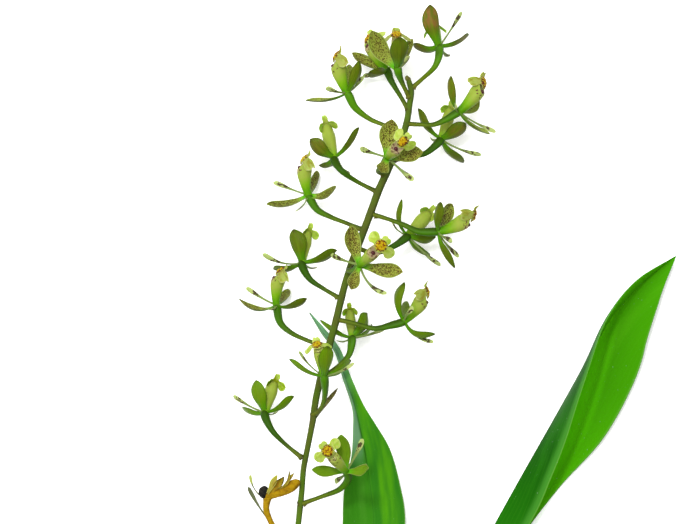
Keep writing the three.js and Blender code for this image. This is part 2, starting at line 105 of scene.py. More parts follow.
# A part is closed rings of points with a pole at each end, and marks, which the finishes read
def closed(rings, skin, **marks):
    count, sides = rings.shape[:2]
    points = np.concatenate([rings.reshape(-1, 3), [rings[0].mean(0), rings[-1].mean(0)]])
    i, j = np.arange(count - 1)[:, None] * sides, np.arange(sides)[None, :]
    k = (j + 1) % sides
    quads = np.stack([i + j, i + k, i + sides + k, i + sides + j], -1).reshape(-1, 4)
    j, k, last = j[0], k[0], (count - 1) * sides
    low, high = np.full(sides, count * sides), np.full(sides, count * sides + 1)
    fans = np.concatenate([np.stack([low, k, j], -1), np.stack([high, last + j, last + k], -1)])
    faces = [list(f) for f in quads] + [list(f) for f in fans]
    tris = np.concatenate([quads[:, [0, 1, 2]], quads[:, [0, 2, 3]], fans])
    a, b, c = (points[tris[:, n]] for n in range(3))
    if np.einsum("ij,ij->i", a, np.cross(b, c)).sum() < 0:  # inside out
        faces = [f[::-1] for f in faces]
    flat = {}
    for name, value in marks.items():
        value = np.broadcast_to(value, (count, sides) + np.shape(value)[2:])
        ends = np.stack([value[0].mean(0), value[-1].mean(0)])
        flat[name] = np.concatenate([value.reshape(-1, *value.shape[2:]), ends])
    return {"points": points, "faces": faces, "skin": skin, "marks": flat}


def laid(across, along, seed):  # the mark plan: place on the opened-out part, and a number of its own
    return np.stack(np.broadcast_arrays(across, along, float(seed)), -1)


def marked(part, **marks):  # one value all over the part
    for name, value in marks.items():
        part["marks"][name] = np.full(len(part["points"]), value)
    return part


# along runs from 0 at the root to 1 at the tip, rim from 0 at the keel to 1 at the edge, and inner
# is 1 on the upper side. What the others say is noted at each finish that reads them
markNames = ("along", "rim", "inner", "tone", "back", "turn", "plan")


def build(name, parts, node):
    mesh = bpy.data.meshes.new(name)
    shift = np.cumsum([0] + [len(p["points"]) for p in parts])
    points = np.concatenate([p["points"] for p in parts]) * mm
    faces = [[v + shift[n] for v in f] for n, p in enumerate(parts) for f in p["faces"]]
    mesh.from_pydata(points.tolist(), [], faces)
    used = [s for s in skins if any(p["skin"] == s for p in parts)]
    for s in used:
        mesh.materials.append(skins[s])
    mesh.polygons.foreach_set("material_index", [used.index(p["skin"]) for p in parts for f in p["faces"]])
    mesh.polygons.foreach_set("use_smooth", [True] * len(faces))
    for mark in markNames:
        if any(mark in p["marks"] for p in parts):
            vector = mark == "plan"
            kind, field, width = ("FLOAT_VECTOR", "vector", (3,)) if vector else ("FLOAT", "value", ())
            data = [p["marks"].get(mark, np.zeros((len(p["points"]),) + width)) for p in parts]
            data = np.concatenate(data).astype(np.float32).ravel()
            mesh.attributes.new(mark, kind, "POINT").data.foreach_set(field, data)
    mesh.update()
    piece = placed(name, mesh)
    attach(piece, "root")
    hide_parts(node)


class Term:  # wraps a node's output, so that sums on outputs read as sums
    def __init__(self, nodes, socket):
        self.nodes, self.socket = nodes, socket

    def maths(self, operation, *terms):
        return self.nodes.node("ShaderNodeMath", {"operation": operation}, dict(enumerate(terms)))

    def __add__(self, other):
        return self.maths("ADD", self, other)

    def __radd__(self, other):
        return self.maths("ADD", other, self)

    def __sub__(self, other):
        return self.maths("SUBTRACT", self, other)

    def __rsub__(self, other):
        return self.maths("SUBTRACT", other, self)

    def __mul__(self, other):
        return self.maths("MULTIPLY", self, other)

    def __rmul__(self, other):
        return self.maths("MULTIPLY", other, self)

    def __pow__(self, other):
        return self.maths("POWER", self, other)

    def most(self, other):
        return self.maths("MAXIMUM", self, other)

    def size(self):
        return self.maths("ABSOLUTE", self)

    def sine(self):
        return self.maths("SINE", self)

    def rise(self, low, high):  # 0 at low, 1 at high and soft between, also where low is the greater
        return self.nodes.node("ShaderNodeMapRange", {"interpolation_type": "SMOOTHSTEP"},
                               {"Value": self, "From Min": low, "From Max": high})


class Nodes:
    look = {}  # colours by name

    def node(self, kind, settings=None, sockets=None, out=0):
        made = self.tree.nodes.new(kind)
        for name, value in (settings or {}).items():
            if name == "stops":
                ramp = made.color_ramp
                while len(ramp.elements) < len(value):
                    ramp.elements.new(0.5)
                for element, (place, colour) in zip(ramp.elements, value):
                    element.position, element.color = place, self.look[colour]
            else:
                setattr(made, name, value)
        for name, value in (sockets or {}).items():
            if isinstance(value, Term):
                self.tree.links.new(value.socket, made.inputs[name])
            else:
                named = isinstance(value, str) and value in self.look
                made.inputs[name].default_value = self.look[value] if named else value
        return Term(self, made.outputs[out])


paintShare = 0.62  # the studio light is brighter than white, so colours are held back by this


def tint(red, green, blue, share=paintShare):  # eight-bit display colour to a linear one
    line = [c / 255 for c in (red, green, blue)]
    line = [c / 12.92 if c <= 0.04045 else ((c + 0.055) / 1.055) ** 2.4 for c in line]
    return tuple(c * share for c in line) + (1.0,)


class Finish(Nodes):
    def __init__(self, name, look, **fixed):
        self.look = {colour: tint(*value) for colour, value in look.items()}
        self.material = bpy.data.materials.new(name)
        self.material.use_nodes = True
        self.tree = self.material.node_tree
        self.shader = next(n for n in self.tree.nodes if n.type == "BSDF_PRINCIPLED")
        usual = {"Specular_IOR_Level": 0.05, "Subsurface_Radius": (0.5, 1.0, 0.25)}
        for socket, value in {**usual, **fixed}.items():
            self.shader.inputs[socket.replace("_", " ")].default_value = value

    def mark(self, name, out="Fac"):
        return self.node("ShaderNodeAttribute", {"attribute_name": name}, out=out)

    def marks(self, names):
        return [self.mark(name) for name in names.split()]

    def place(self):  # in metres
        return self.node("ShaderNodeTexCoord", out="Object")

    def space(self, scale=1000.0):  # in millimetres
        return self.stretch(self.place(), scale, scale, scale)

    def split(self, vector):
        made = self.node("ShaderNodeSeparateXYZ", {}, {"Vector": vector})
        return [Term(self, out) for out in made.socket.node.outputs]

    def stretch(self, vector, x, y, z):
        return self.node("ShaderNodeVectorMath", {"operation": "MULTIPLY"}, {0: vector, 1: (x, y, z)})

    def noise(self, vector, scale, detail=2.0, rough=0.5, warp=0.0):
        return self.node("ShaderNodeTexNoise", {}, {"Vector": vector, "Scale": scale, "Detail": detail,
                                                    "Roughness": rough, "Distortion": warp})

    def patches(self, plan, across, along, *kind):  # noise with so many patches to the millimetre
        return self.noise(self.stretch(plan, across, along, 1.0), 1.0, *kind)

    def blend(self, share, low, high):
        return self.node("ShaderNodeMix", {"data_type": "RGBA"}, {0: share, 6: low, 7: high}, out=2)

    def coats(self, body, *coats):  # one over the other, each a share and a colour
        for share, colour in coats:
            body = self.blend(share, body, colour)
        return body

    def ramp(self, share, *stops):
        return self.node("ShaderNodeValToRGB", {"stops": stops}, {"Fac": share})

    def feed(self, **sockets):
        for name, term in sockets.items():
            self.tree.links.new(term.socket, self.shader.inputs[name.replace("_", " ")])
        return self.material

    def done(self, colour, roughness, height, distance, strength):
        bump = self.node("ShaderNodeBump", {}, {"Height": height, "Distance": distance, "Strength": strength})
        return self.feed(Base_Color=colour, Roughness=roughness, Normal=bump)


def sepalFinish():  # tone: age, back: brown on the outer side, turn: shade on the inner side
    f = Finish("sepalSkin", {
        "outerBase": (84, 148, 8), "outer": (86, 108, 8), "outerFresh": (100, 140, 4),
        "outerTip": (56, 56, 16), "outerBrown": (134, 96, 44), "outerRib": (116, 144, 20),
        "innerBase": (98, 186, 26), "inner": (166, 178, 70), "innerFresh": (110, 152, 22),
        "innerBrown": (136, 108, 52), "innerShade": (96, 120, 30), "speck": (70, 40, 16),
        "margin": (172, 190, 100), "rimDark": (96, 84, 40),
    }, Subsurface_Weight=0.12, Subsurface_Scale=0.0012)
    plan = f.mark("plan", "Vector")
    along, rim, inner, tone, back, turn = f.marks("along rim inner tone back turn")
    cloud = f.patches(plan, 0.55, 0.16, 3.0)
    grain = f.patches(plan, 3.2, 0.7)
    spots = f.patches(plan, 2.1, 1.5, 2.5, 0.6, 0.2)
    aged = tone.rise(0.1, 0.6)
    flush = cloud.rise(0.38, 0.62) * along.rise(0.25, 0.65)
    tip = (along + (cloud - 0.5) * 0.2).rise(0.86, 1.0) * 0.8
    rib = rim.rise(0.3, 0.0) * along.rise(0.95, 0.6) * 0.35
    spread = along.rise(0.14, 0.32) * rim.rise(0.94, 0.7) * tone
    specks = (spots + spread * 0.13).rise(0.6, 0.64) * spread.rise(0.12, 0.4)
    outer = f.blend(along.rise(0.1, 0.5), "outerBase", f.blend(aged, "outerFresh", "outer"))
    outer = f.coats(outer, ((flush + rim.rise(0.9, 0.2) * 0.3) * along.rise(0.2, 0.6) * back, "outerBrown"),
                    (tip.most(rim.rise(0.78, 1.0) * 0.45), "outerTip"),
                    (rib.most((grain - 0.5).size() * 0.6), "outerRib"))
    face = f.blend(along.rise(0.08, 0.32), "innerBase", f.blend(aged, "innerFresh", "inner"))
    face = f.coats(face, (flush * rim.rise(0.95, 0.3) * tone * 0.55, "innerBrown"),
                   (turn * along.rise(0.1, 0.4) * 0.6, "innerShade"), (rim.rise(0.7, 0.86) * 0.5, "rimDark"),
                   (specks * 0.9, "speck"), (rim.rise(0.88, 0.97) * 0.85, "margin"))
    veins = (f.split(plan)[0] * 7.0).sine() * 0.35
    return f.done(f.blend(inner.rise(0.3, 0.7), outer, face), 0.3 + grain * 0.2,
                  veins + grain * 0.8 + cloud, 0.0002, 0.55)


def petalFinish():  # tone: how blotched
    f = Finish("petalSkin", {"base": (104, 170, 44), "claw": (130, 150, 80), "blade": (186, 200, 120),
                             "blotch": (66, 44, 34)}, Subsurface_Weight=0.2, Subsurface_Scale=0.001)
    plan = f.mark("plan", "Vector")
    along, tone = f.marks("along tone")
    cloud = f.patches(plan, 0.7, 0.42, 2.0, 0.55, 0.3)
    grain = f.patches(plan, 3.0, 0.8)
    zone = along.rise(0.5, 0.66) * along.rise(0.96, 0.86) * (0.4 + tone * 0.6)
    spots = (cloud + zone * 0.14).rise(0.58, 0.64) * zone.rise(0.05, 0.4)
    body = f.coats(f.blend(along.rise(0.0, 0.14), "base", "claw"), (along.rise(0.55, 0.85), "blade"),
                   (spots * 0.92, "blotch"))
    veins = (f.split(plan)[0] * 8.0).sine() * 0.4
    return f.done(body, 0.4 + grain * 0.2, veins + grain, 0.00012, 0.5)


# tone: how flushed and spotted, turn: 1 at the lip and -1 at the back, rim: 1 if seen from behind
def throatFinish():
    f = Finish("throatSkin", {"heart": (92, 156, 8), "green": (126, 178, 22), "pale": (158, 178, 66),
                              "mauve": (186, 162, 126), "mouth": (164, 148, 108), "dot": (90, 44, 38)},
               Subsurface_Weight=0.3, Subsurface_Scale=0.002)
    plan = f.mark("plan", "Vector")
    along, turn, tone, behind = f.marks("along turn tone rim")
    cloud = f.patches(plan, 0.5, 0.3)
    grain = f.patches(plan, 2.4, 0.7)
    spots = f.patches(plan, 1.2, 1.1, 1.5, 0.5, 0.2)
    place = along + (cloud - 0.5) * 0.14 + behind * 0.3
    zone = along.rise(0.8, 0.92) * along.rise(1.12, 1.0) * turn.rise(0.5, -0.6)
    dots = (spots + zone * 0.12).rise(0.66, 0.7) * zone.rise(0.1, 0.5) * tone.rise(0.05, 0.3)
    patches = f.patches(plan, 0.75, 0.75, 1.0).rise(0.56, 0.6) * zone.rise(0.3, 0.6)
    body = f.ramp(place, (0.0, "heart"), (0.2, "heart"), (0.42, "green"), (0.68, "pale"), (0.9, "pale"))
    flush = place.rise(0.84, 1.02) * turn.rise(-0.35, -0.85) * tone.rise(0.3, 0.9)
    body = f.coats(body, (flush * 0.9, "mauve"), (along.rise(0.98, 1.03) * (0.2 + tone), "mouth"),
                   (dots.most(patches * tone.rise(0.3, 0.1)) * 0.85, "dot"))
    return f.done(body, 0.34 + grain * 0.2, grain + cloud * 2.0, 0.00015, 0.5)


def antherFinish():  # tone: dark where the flower is brown
    f = Finish("antherSkin", {"dark": (58, 14, 18), "darkHigh": (96, 36, 34), "pale": (190, 196, 112),
                              "paleSpot": (84, 62, 34)}, Specular_IOR_Level=0.2)
    grain = f.noise(f.place(), 1400.0)
    dark = f.blend(grain, "dark", "darkHigh")
    pale = f.blend(grain.rise(0.5, 0.62), "pale", "paleSpot")
    return f.done(f.blend(f.mark("tone").rise(0.12, 0.3), pale, dark), 0.3 + grain * 0.2, grain, 0.0001, 0.4)


def lipFinish():  # tone: age, back: painted shade on lobes folded towards the side
    f = Finish("lipSkin", {
        "lobe": (190, 204, 100), "lobeDeep": (168, 188, 60), "edge": (200, 206, 134),
        "under": (178, 194, 84), "underDeep": (156, 176, 54), "fresh": (154, 170, 18),
        "folded": (156, 164, 78), "foldedDeep": (142, 134, 48), "gold": (204, 178, 16),
        "goldDeep": (176, 130, 12), "dot": (128, 48, 14), "dotDark": (70, 28, 20),
    }, Subsurface_Weight=0.4, Subsurface_Scale=0.0015)
    plan = f.mark("plan", "Vector")
    rim, inner, tone, lobeShade = f.marks("rim inner tone back")
    x, y = f.split(plan)[:2]
    reach = (x * x + y * y) ** 0.5
    cloud = f.patches(plan, 0.4, 0.4)
    lumps = f.patches(plan, 1.3, 1.3, 2.0, 0.5, 0.4)
    mottle = f.patches(plan, 1.15, 1.15, 1.5, 0.5, 0.6)
    veins = (y.maths("ARCTAN2", y, x) * 26.0 + cloud * 4.0).sine()
    pad = (reach + (lumps - 0.5) * 0.9).rise(3.0, 2.5)
    ring = (reach - 2.7).size() + (cloud - 0.5) * 1.2
    under = f.coats(f.blend(cloud.rise(0.35, 0.65), "under", "underDeep"),
                    (tone.rise(0.4, 0.1) * cloud.rise(0.3, 0.6), "fresh"),
                    (rim.rise(0.88, 1.0) * 0.7, "edge"))
    # painted shade for lobes seen from the side
    folded = f.blend((cloud + rim.rise(0.8, 1.0) * 0.1).rise(0.45, 0.62), "folded", "foldedDeep")
    face = f.coats(f.blend(cloud.rise(0.35, 0.65), "lobe", "lobeDeep"),
                   (lobeShade * 0.85, folded), (rim.rise(0.9, 1.0) * 0.5, "edge"),
                   (pad, f.blend(lumps.rise(0.4, 0.62), "gold", "goldDeep")),
                   (mottle.rise(0.55, 0.6) * pad * 0.85, "dot"),
                   (ring.rise(0.85, 0.3) * mottle.rise(0.45, 0.51) * 0.92,
                    f.blend(lumps.rise(0.4, 0.6), "dot", "dotDark")))
    return f.done(f.blend(inner.rise(0.35, 0.65), under, face), 0.42 + cloud * 0.2,
                  veins * 0.25 + lumps * 2.0 * inner * pad + cloud, 0.00022, 0.6)


def stalkFinish():  # tone: painted shade on the side facing up the sheet, back: painted shade on the side away from the light, turn: way round, rim: deep green
    f = Finish("stalkSkin", {"flower": (84, 144, 10), "middle": (108, 134, 22), "stem": (116, 124, 36),
                             "joint": (72, 70, 28), "brown": (96, 86, 34), "sunned": (52, 76, 12),
                             "lee": (34, 60, 6), "deep": (44, 84, 4)})
    along, tone, back, turn, deep = f.marks("along tone back turn rim")
    place = f.space()
    cloud = f.noise(place, 0.22, 3.0)
    grain = f.noise(place, 2.2, 3.0)
    body = f.ramp(along + (cloud - 0.5) * 0.25,
                  (0.02, "stem"), (0.4, "middle"), (0.72, "flower"), (1.0, "flower"))
    # two of these coats are painted shade: darker on the side facing up the sheet and on the side away from
    # the light
    body = f.coats(body, (cloud.rise(0.48, 0.7) * along.rise(0.9, 0.3) * 0.6, "brown"),
                   (deep * along.rise(-0.2, 0.55), "deep"),
                   ((tone + (cloud - 0.5) * 0.8).rise(0.0, 0.85) * 0.8, "sunned"),
                   (along.rise(0.07, 0.0) * 0.7, "joint"), (back.rise(0.45, 0.95) * 0.45, "lee"))
    ribs = (turn * (2 * math.pi * 9)).sine() * 0.4
    return f.done(body, 0.32 + grain * 0.2, ribs + grain + cloud, 0.0002, 0.5)


def stemFinish():  # tone: near a joint, back: painted shade on the side away from the light, turn: way round
    f = Finish("stemSkin", {"olive": (88, 102, 28), "green": (78, 108, 18), "purple": (90, 82, 42),
                            "node": (76, 84, 30), "cane": (130, 150, 62), "line": (128, 142, 54),
                            "fresh": (88, 134, 20), "lee": (36, 56, 6)})
    along, turn, tone, back = f.marks("along turn tone back")
    place = f.space()
    cloud = f.noise(place, 0.11, 3.0)
    grain = f.noise(place, 1.6, 3.0)
    ribs = (turn * (2 * math.pi * 22) + cloud * 3.0).sine() * 0.5
    # one coat is painted shade, darker on the side away from the light
    body = f.coats(f.blend(cloud.rise(0.36, 0.64), "green", "olive"),
                   (f.noise(place, 0.19).rise(0.46, 0.72) * 0.6, "purple"),
                   (along.rise(0.84, 0.96).most(along.rise(0.54, 0.47)) * 0.65, "fresh"),
                   (tone * 0.5, "node"), (ribs.rise(0.1, 0.5) * 0.35, "line"),
                   (back.rise(0.4, 0.95) * 0.6, "lee"), (along.rise(0.16, 0.08), "cane"))
    return f.done(body, 0.36 + grain * 0.2, ribs + grain + cloud, 0.00025, 0.6)


def driedFinish():  # tone: bleached, back: painted shade on the side away from the light, along: past 1.6 it is burnt
    f = Finish("driedSkin", {"orange": (188, 150, 16), "deep": (150, 108, 10), "pale": (194, 196, 92),
                             "dark": (56, 34, 22)}, Subsurface_Weight=0.15, Subsurface_Scale=0.002)
    along, tone, back = f.marks("along tone back")
    place = f.space()
    creases = f.noise(place, 0.55, 3.0, 0.6, 1.2)
    cloud = f.noise(place, 0.25, 3.0)
    # the deep coat set by back is painted shade on the side away from the light; the other deep coats vary at
    # random
    body = f.coats(f.blend(cloud.rise(0.4, 0.66), "orange", "deep"), (back.rise(0.1, 0.9) * 0.6, "deep"),
                   (tone, "pale"), (along.rise(1.6, 1.9) * 0.95, "dark"),
                   (creases.rise(0.62, 0.74) * 0.5, "deep"))
    return f.done(body, 0.6 + creases * 0.2, creases * 3.0 + f.noise(place, 2.5), 0.0004, 0.8)


def knotFinish(name, dark, light):
    f = Finish(name, {"dark": dark, "light": light})
    creases = f.noise(f.space(), 0.9, 4.0, 0.6, 0.8)
    body = f.blend(creases.rise(0.4, 0.65), "dark", "light")
    return f.done(body, 0.5 + creases * 0.2, creases, 0.0005, 0.8)


def strandFinish():  # tone: pale towards the tip
    f = Finish("strandSkin", {"base": (104, 108, 30), "middle": (104, 112, 76), "pale": (176, 188, 96)})
    along, tone = f.marks("along tone")
    grain = f.noise(f.space(900.0), 0.9, 3.0)
    body = f.blend((along + (grain - 0.5) * 0.4).rise(0.1, 0.4), "base", "middle")
    body = f.blend(along.rise(0.5, 0.72) * tone, body, "pale")
    return f.done(body, 0.5 + grain * 0.2, grain, 0.0003, 0.6)


# A fourth number is the share a colour is held back by, where that differs from paintShare
leafLooks = {
    "leafBack": {
        "outerLow": (44, 124, 24), "outerHigh": (70, 140, 70), "outerSoft": (58, 140, 30),
        "inner": (50, 128, 26), "innerSoft": (88, 168, 18), "left": (60, 140, 26), "leftSoft": (70, 146, 34),
        "strip": (146, 200, 150), "fibre": (86, 156, 44), "margin": (110, 156, 64), "midrib": (40, 112, 24),
        "sheen": (120, 168, 120), "far": (124, 176, 134), "dust": (150, 190, 140)},
    "leafRight": {
        "outerLow": (30, 112, 10), "outerHigh": (22, 88, 10), "outerSoft": (42, 126, 18),
        "inner": (66, 154, 4), "innerSoft": (74, 162, 8), "left": (70, 160, 6, 1.1),
        "leftSoft": (74, 162, 8, 1.1), "strip": (70, 160, 6, 1.1), "hollow": (74, 166, 4, 1.5),
        "fibre": (90, 170, 40), "margin": (108, 174, 60), "midrib": (60, 140, 34), "sheen": (78, 156, 52),
        "far": (70, 160, 6, 1.1), "dust": (190, 215, 190)},
}
# bend and far are shares of the length, leftEdge, keel and the painted highlight's line millimetres from the
# keel
leafBands = {
    "leafBack": {"bend": (0.7, 0.85), "far": (0.72, 0.9), "leftEdge": (2.4, -1.8), "keel": 0.7,
                 "nerves": 2.4, "highlightLine": 6.0},
    "leafRight": {"bend": (0.45, 0.62), "far": (0.98, 1.2), "leftEdge": (1.2, -1.6), "keel": 0.5,
                  "nerves": 3.0, "highlightLine": 9.0},
}


def leafFinish(name):
    n = leafBands[name]
    f = Finish(name + "Skin", leafLooks[name], Specular_IOR_Level=0.04, IOR=1.2,
               Specular_Tint=(0.35, 0.55, 0.35, 1))
    plan = f.mark("plan", "Vector")
    x, y = f.split(plan)[:2]
    along, rim, inner = f.marks("along rim inner")
    cloud = f.patches(plan, 0.12, 0.02, 3.0)
    fibre = f.patches(plan, 2.6, 0.05)
    dust = f.patches(plan, 1.1, 1.1, 1.0).rise(0.76, 0.79)
    nerve = (x * n["nerves"] + cloud * 1.5).sine()
    # painted sheen: on the back leaf the outer side turns bluish towards the tip, and on both leaves the
    # sheen coat lightens it near the edge
    outer = f.coats(f.blend(along.rise(*n["bend"]), "outerLow", "outerHigh"),
                    (cloud.rise(0.45, 0.7) * 0.4, "outerSoft"), (rim.rise(0.72, 0.94) * 0.7, "sheen"))
    # painted highlight: a lighter streak along a line beside the keel, broken into patches
    face = f.blend((cloud + (x - n["highlightLine"]).size() * 0.035).rise(0.75, 0.42), "inner", "innerSoft")
    if "hollow" in f.look:  # painted light in the fold, against the shade there, on a slant across the blade
        valley = rim + (along - 0.68) * 2.6
        hollow = valley.rise(0.7, 0.32).most(along.rise(0.76, 0.48) * 0.4)
        hollow = hollow.most((valley - 0.58).size().rise(0.2, 0.04) * 0.24)
        face = f.blend(hollow * along.rise(0.38, 0.54), face, "hollow")
    # painted highlight: a pale strip on the left half, from a little over halfway up
    left = x.rise(*n["leftEdge"]) * along.rise(0.2, 0.42)
    face = f.coats(face, (left, f.blend(cloud.rise(0.4, 0.65), "left", "leftSoft")),
                   (left * rim.rise(0.05, 0.45) * along.rise(0.55, 0.66) * 0.95, "strip"))
    body = f.coats(f.blend(inner.rise(0.4, 0.6), outer, face),
                   ((fibre - 0.5).size() * 0.3 + nerve.rise(0.5, 1.0) * 0.05, "fibre"),
                   (along.rise(*n["far"]) * 0.75, "far"), (rim.rise(0.955, 0.99) * 0.6, "margin"),
                   (x.size().rise(n["keel"], 0.0) * 0.5, "midrib"), (dust * 0.5, "dust"))
    return f.done(body, 0.36 + fibre * 0.2, nerve * 0.2 + fibre * 0.5, 0.0002, 0.3)


skins = {
    "sepal": sepalFinish(), "petal": petalFinish(), "throat": throatFinish(), "anther": antherFinish(),
    "lip": lipFinish(), "stalk": stalkFinish(), "stem": stemFinish(), "dried": driedFinish(),
    "knot": knotFinish("knotSkin", (20, 20, 20), (48, 44, 36)), "strand": strandFinish(),
    "bract": knotFinish("bractSkin", (104, 90, 50), (132, 138, 62)),
    "leafBack": leafFinish("leafBack"), "leafRight": leafFinish("leafRight"),
}
print("finishes made:", len(skins))


class Graph(Nodes):  # a Geometry Nodes tree with a named input for each size
    def __init__(self, name, sizes):
        self.tree = bpy.data.node_groups.new(name, "GeometryNodeTree")
        face = self.tree.interface
        for label, kind in {"Geometry": "Geometry", **sizes, "Skin": "Material"}.items():
            face.new_socket(label, in_out="INPUT", socket_type="NodeSocket" + kind)
        face.new_socket("Geometry", in_out="OUTPUT", socket_type="NodeSocketGeometry")
        self.start = self.tree.nodes.new("NodeGroupInput")
        self.end = self.tree.nodes.new("NodeGroupOutput")

    def given(self, label):
        return Term(self, self.start.outputs[label])

    def read(self, name, kind="FLOAT"):
        return self.node("GeometryNodeInputNamedAttribute", {"data_type": kind}, {"Name": name})

    def step(self, kind, geometry, **sockets):
        return self.node("GeometryNode" + kind, {}, {"Geometry": geometry, **sockets})

    def keep(self, geometry, name, value):
        return self.node("GeometryNodeStoreNamedAttribute", {"data_type": "FLOAT", "domain": "POINT"},
                         {"Geometry": geometry, "Name": name, "Value": value})

    def finish(self, geometry):
        geometry = self.step("RealizeInstances", self.step("SetShadeSmooth", geometry))
        geometry = self.step("SetMaterial", geometry, Material=self.given("Skin"))
        self.tree.links.new(geometry.socket, self.end.inputs[0])
        return self.tree


def sweptGraph():  # a stem or stalk along its route, with ribs and a soft waver
    g = Graph("sweptStalk", {"Sides": "Int", "Rib Depth": "Float", "Rib Count": "Float", "Twist": "Float",
                             "Waver": "Float"})
    line = g.node("GeometryNodeMeshToCurve", {}, {"Mesh": g.given("Geometry")})
    run = g.node("GeometryNodeSplineParameter", out="Factor")
    ring = g.node("GeometryNodeCurvePrimitiveCircle", {}, {"Resolution": g.given("Sides"), "Radius": 1.0})
    tube = g.node("GeometryNodeCurveToMesh", {}, {"Curve": g.keep(line, "along", run),
                                                  "Profile Curve": g.keep(ring, "turn", run),
                                                  "Scale": g.read("girth"), "Fill Caps": True})
    angle = g.read("turn") * g.given("Rib Count") * (2 * math.pi) + g.read("along") * g.given("Twist")
    rough = g.node("ShaderNodeTexNoise", {}, {"Scale": 160.0, "Detail": 2.0})
    lift = angle.maths("COSINE", angle) * g.given("Rib Depth") + (rough - 0.5) * g.given("Waver")
    push = g.node("ShaderNodeVectorMath", {"operation": "SCALE"},
                  {0: g.node("GeometryNodeInputNormal"), "Scale": lift * g.read("girth")})
    return g.finish(g.step("SetPosition", tube, Offset=push))


def scaleGraph():  # small pointed scales, one on each given point
    g = Graph("scales", {"Width": "Float", "Depth": "Float", "Length": "Float"})
    cone = g.node("GeometryNodeMeshCone", {}, {"Vertices": 16, "Side Segments": 6, "Radius Top": 0.04,
                                               "Radius Bottom": 1.0, "Depth": g.given("Length")})
    shape = g.node("ShaderNodeCombineXYZ", {}, {"X": g.given("Width"), "Y": g.given("Depth"), "Z": 1.0})
    aim = g.read("aim", "FLOAT_VECTOR")
    aimed = g.node("FunctionNodeAlignRotationToVector", {"axis": "Z"}, {"Vector": aim})
    many = {"Points": g.given("Geometry"), "Instance": g.step("Transform", cone, Scale=shape),
            "Rotation": aimed, "Scale": g.read("girth")}
    return g.finish(g.node("GeometryNodeInstanceOnPoints", {}, many))


def grown(tree, sizes, skin, points, edges, girth, aims=()):  # what the tree makes of a line or of seats
    mesh = bpy.data.meshes.new("seats")
    mesh.from_pydata((np.array(points) * mm).tolist(), edges, [])
    girth = (np.array(girth) * mm).astype(np.float32)
    mesh.attributes.new("girth", "FLOAT", "POINT").data.foreach_set("value", girth)
    if len(aims):
        aims = np.array(aims, np.float32).ravel()
        mesh.attributes.new("aim", "FLOAT_VECTOR", "POINT").data.foreach_set("vector", aims)
    carrier = placed("carrier", mesh)
    modifier = carrier.modifiers.new("shape", "NODES")
    modifier.node_group = tree
    inputs = {**sizes, "Skin": skins[skin]}
    for item in tree.interface.items_tree:
        if item.in_out == "INPUT" and item.name in inputs:
            modifier[item.identifier] = inputs[item.name]
    ready = carrier.evaluated_get(bpy.context.evaluated_depsgraph_get())
    made = bpy.data.meshes.new_from_object(ready)
    bpy.data.objects.remove(carrier)
    return made


def numbers(data, field, width=1):
    flat = np.zeros(len(data) * width, np.float32)
    data.foreach_get(field, flat)
    return flat.reshape(-1, width) if width > 1 else flat


def asPart(mesh, skin, **marks):
    faces = [list(p.vertices) for p in mesh.polygons]
    return {"points": numbers(mesh.vertices, "co", 3) / mm, "faces": faces, "skin": skin, "marks": marks}


sweptTree = sweptGraph()
sweep = {"Sides": 18, "Rib Depth": 0.05, "Rib Count": 3.0, "Twist": 4.0, "Waver": 0.1}
upperShadeWay = np.array([-0.2, 0.97, 0.1])  # up the living plant; painted shade darkens the sides facing this way
# painted shade also darkens the sides facing this way, away from the light
sideShadeWay = np.array([0.92, -0.38, 0.0])
scaleTree = scaleGraph()
scaleSizes = {"Width": 0.95, "Depth": 0.4, "Length": 2.7}


def swept(points, girth, skin, **changes):
    edges = [(i, i + 1) for i in range(len(points) - 1)]
    made = grown(sweptTree, {**sweep, **changes}, skin, points, edges, girth)
    along, turn = (numbers(made.attributes[name].data, "value") for name in ("along", "turn"))
    normals = numbers(made.vertices, "normal", 3)
    # tone and back carry the painted shade onto the sides facing those ways
    return asPart(made, skin, along=along, turn=turn, tone=normals @ upperShadeWay, back=normals @ sideShadeWay)


def scales(points, aims, sizes):
    return asPart(grown(scaleTree, scaleSizes, "bract", points, [], sizes, aims), "bract")


# Blades: sepals, petals and what is made like them. Cup, waver and skew are shares of the half width,
# keelDeep and keelHalf millimetres
bladeSizes = {
    "sepal": {"rows": 34, "around": 28, "cup": 0.35, "keelDeep": 0.22, "outline": [
        (0, 0.42), (0.12, 0.42), (0.28, 0.58), (0.45, 0.86), (0.58, 0.97), (0.7, 0.98), (0.83, 0.8),
        (0.92, 0.5), (0.975, 0.22), (1, 0.05)]},
    "petal": {"rows": 30, "around": 16, "cup": 0.18, "keelDeep": 0.08, "outline": [
        (0, 0.5), (0.2, 0.42), (0.5, 0.5), (0.65, 0.72), (0.8, 1), (0.9, 0.98), (0.97, 0.7), (1, 0.2)]},
}
bladeForm = {"crowding": 1.25, "keelHalf": 0.7, "roundness": 2.6, "thinning": 0.55, "waver": 0.1,
             "wavers": 6.5, "skew": 0.05, "skews": 5}


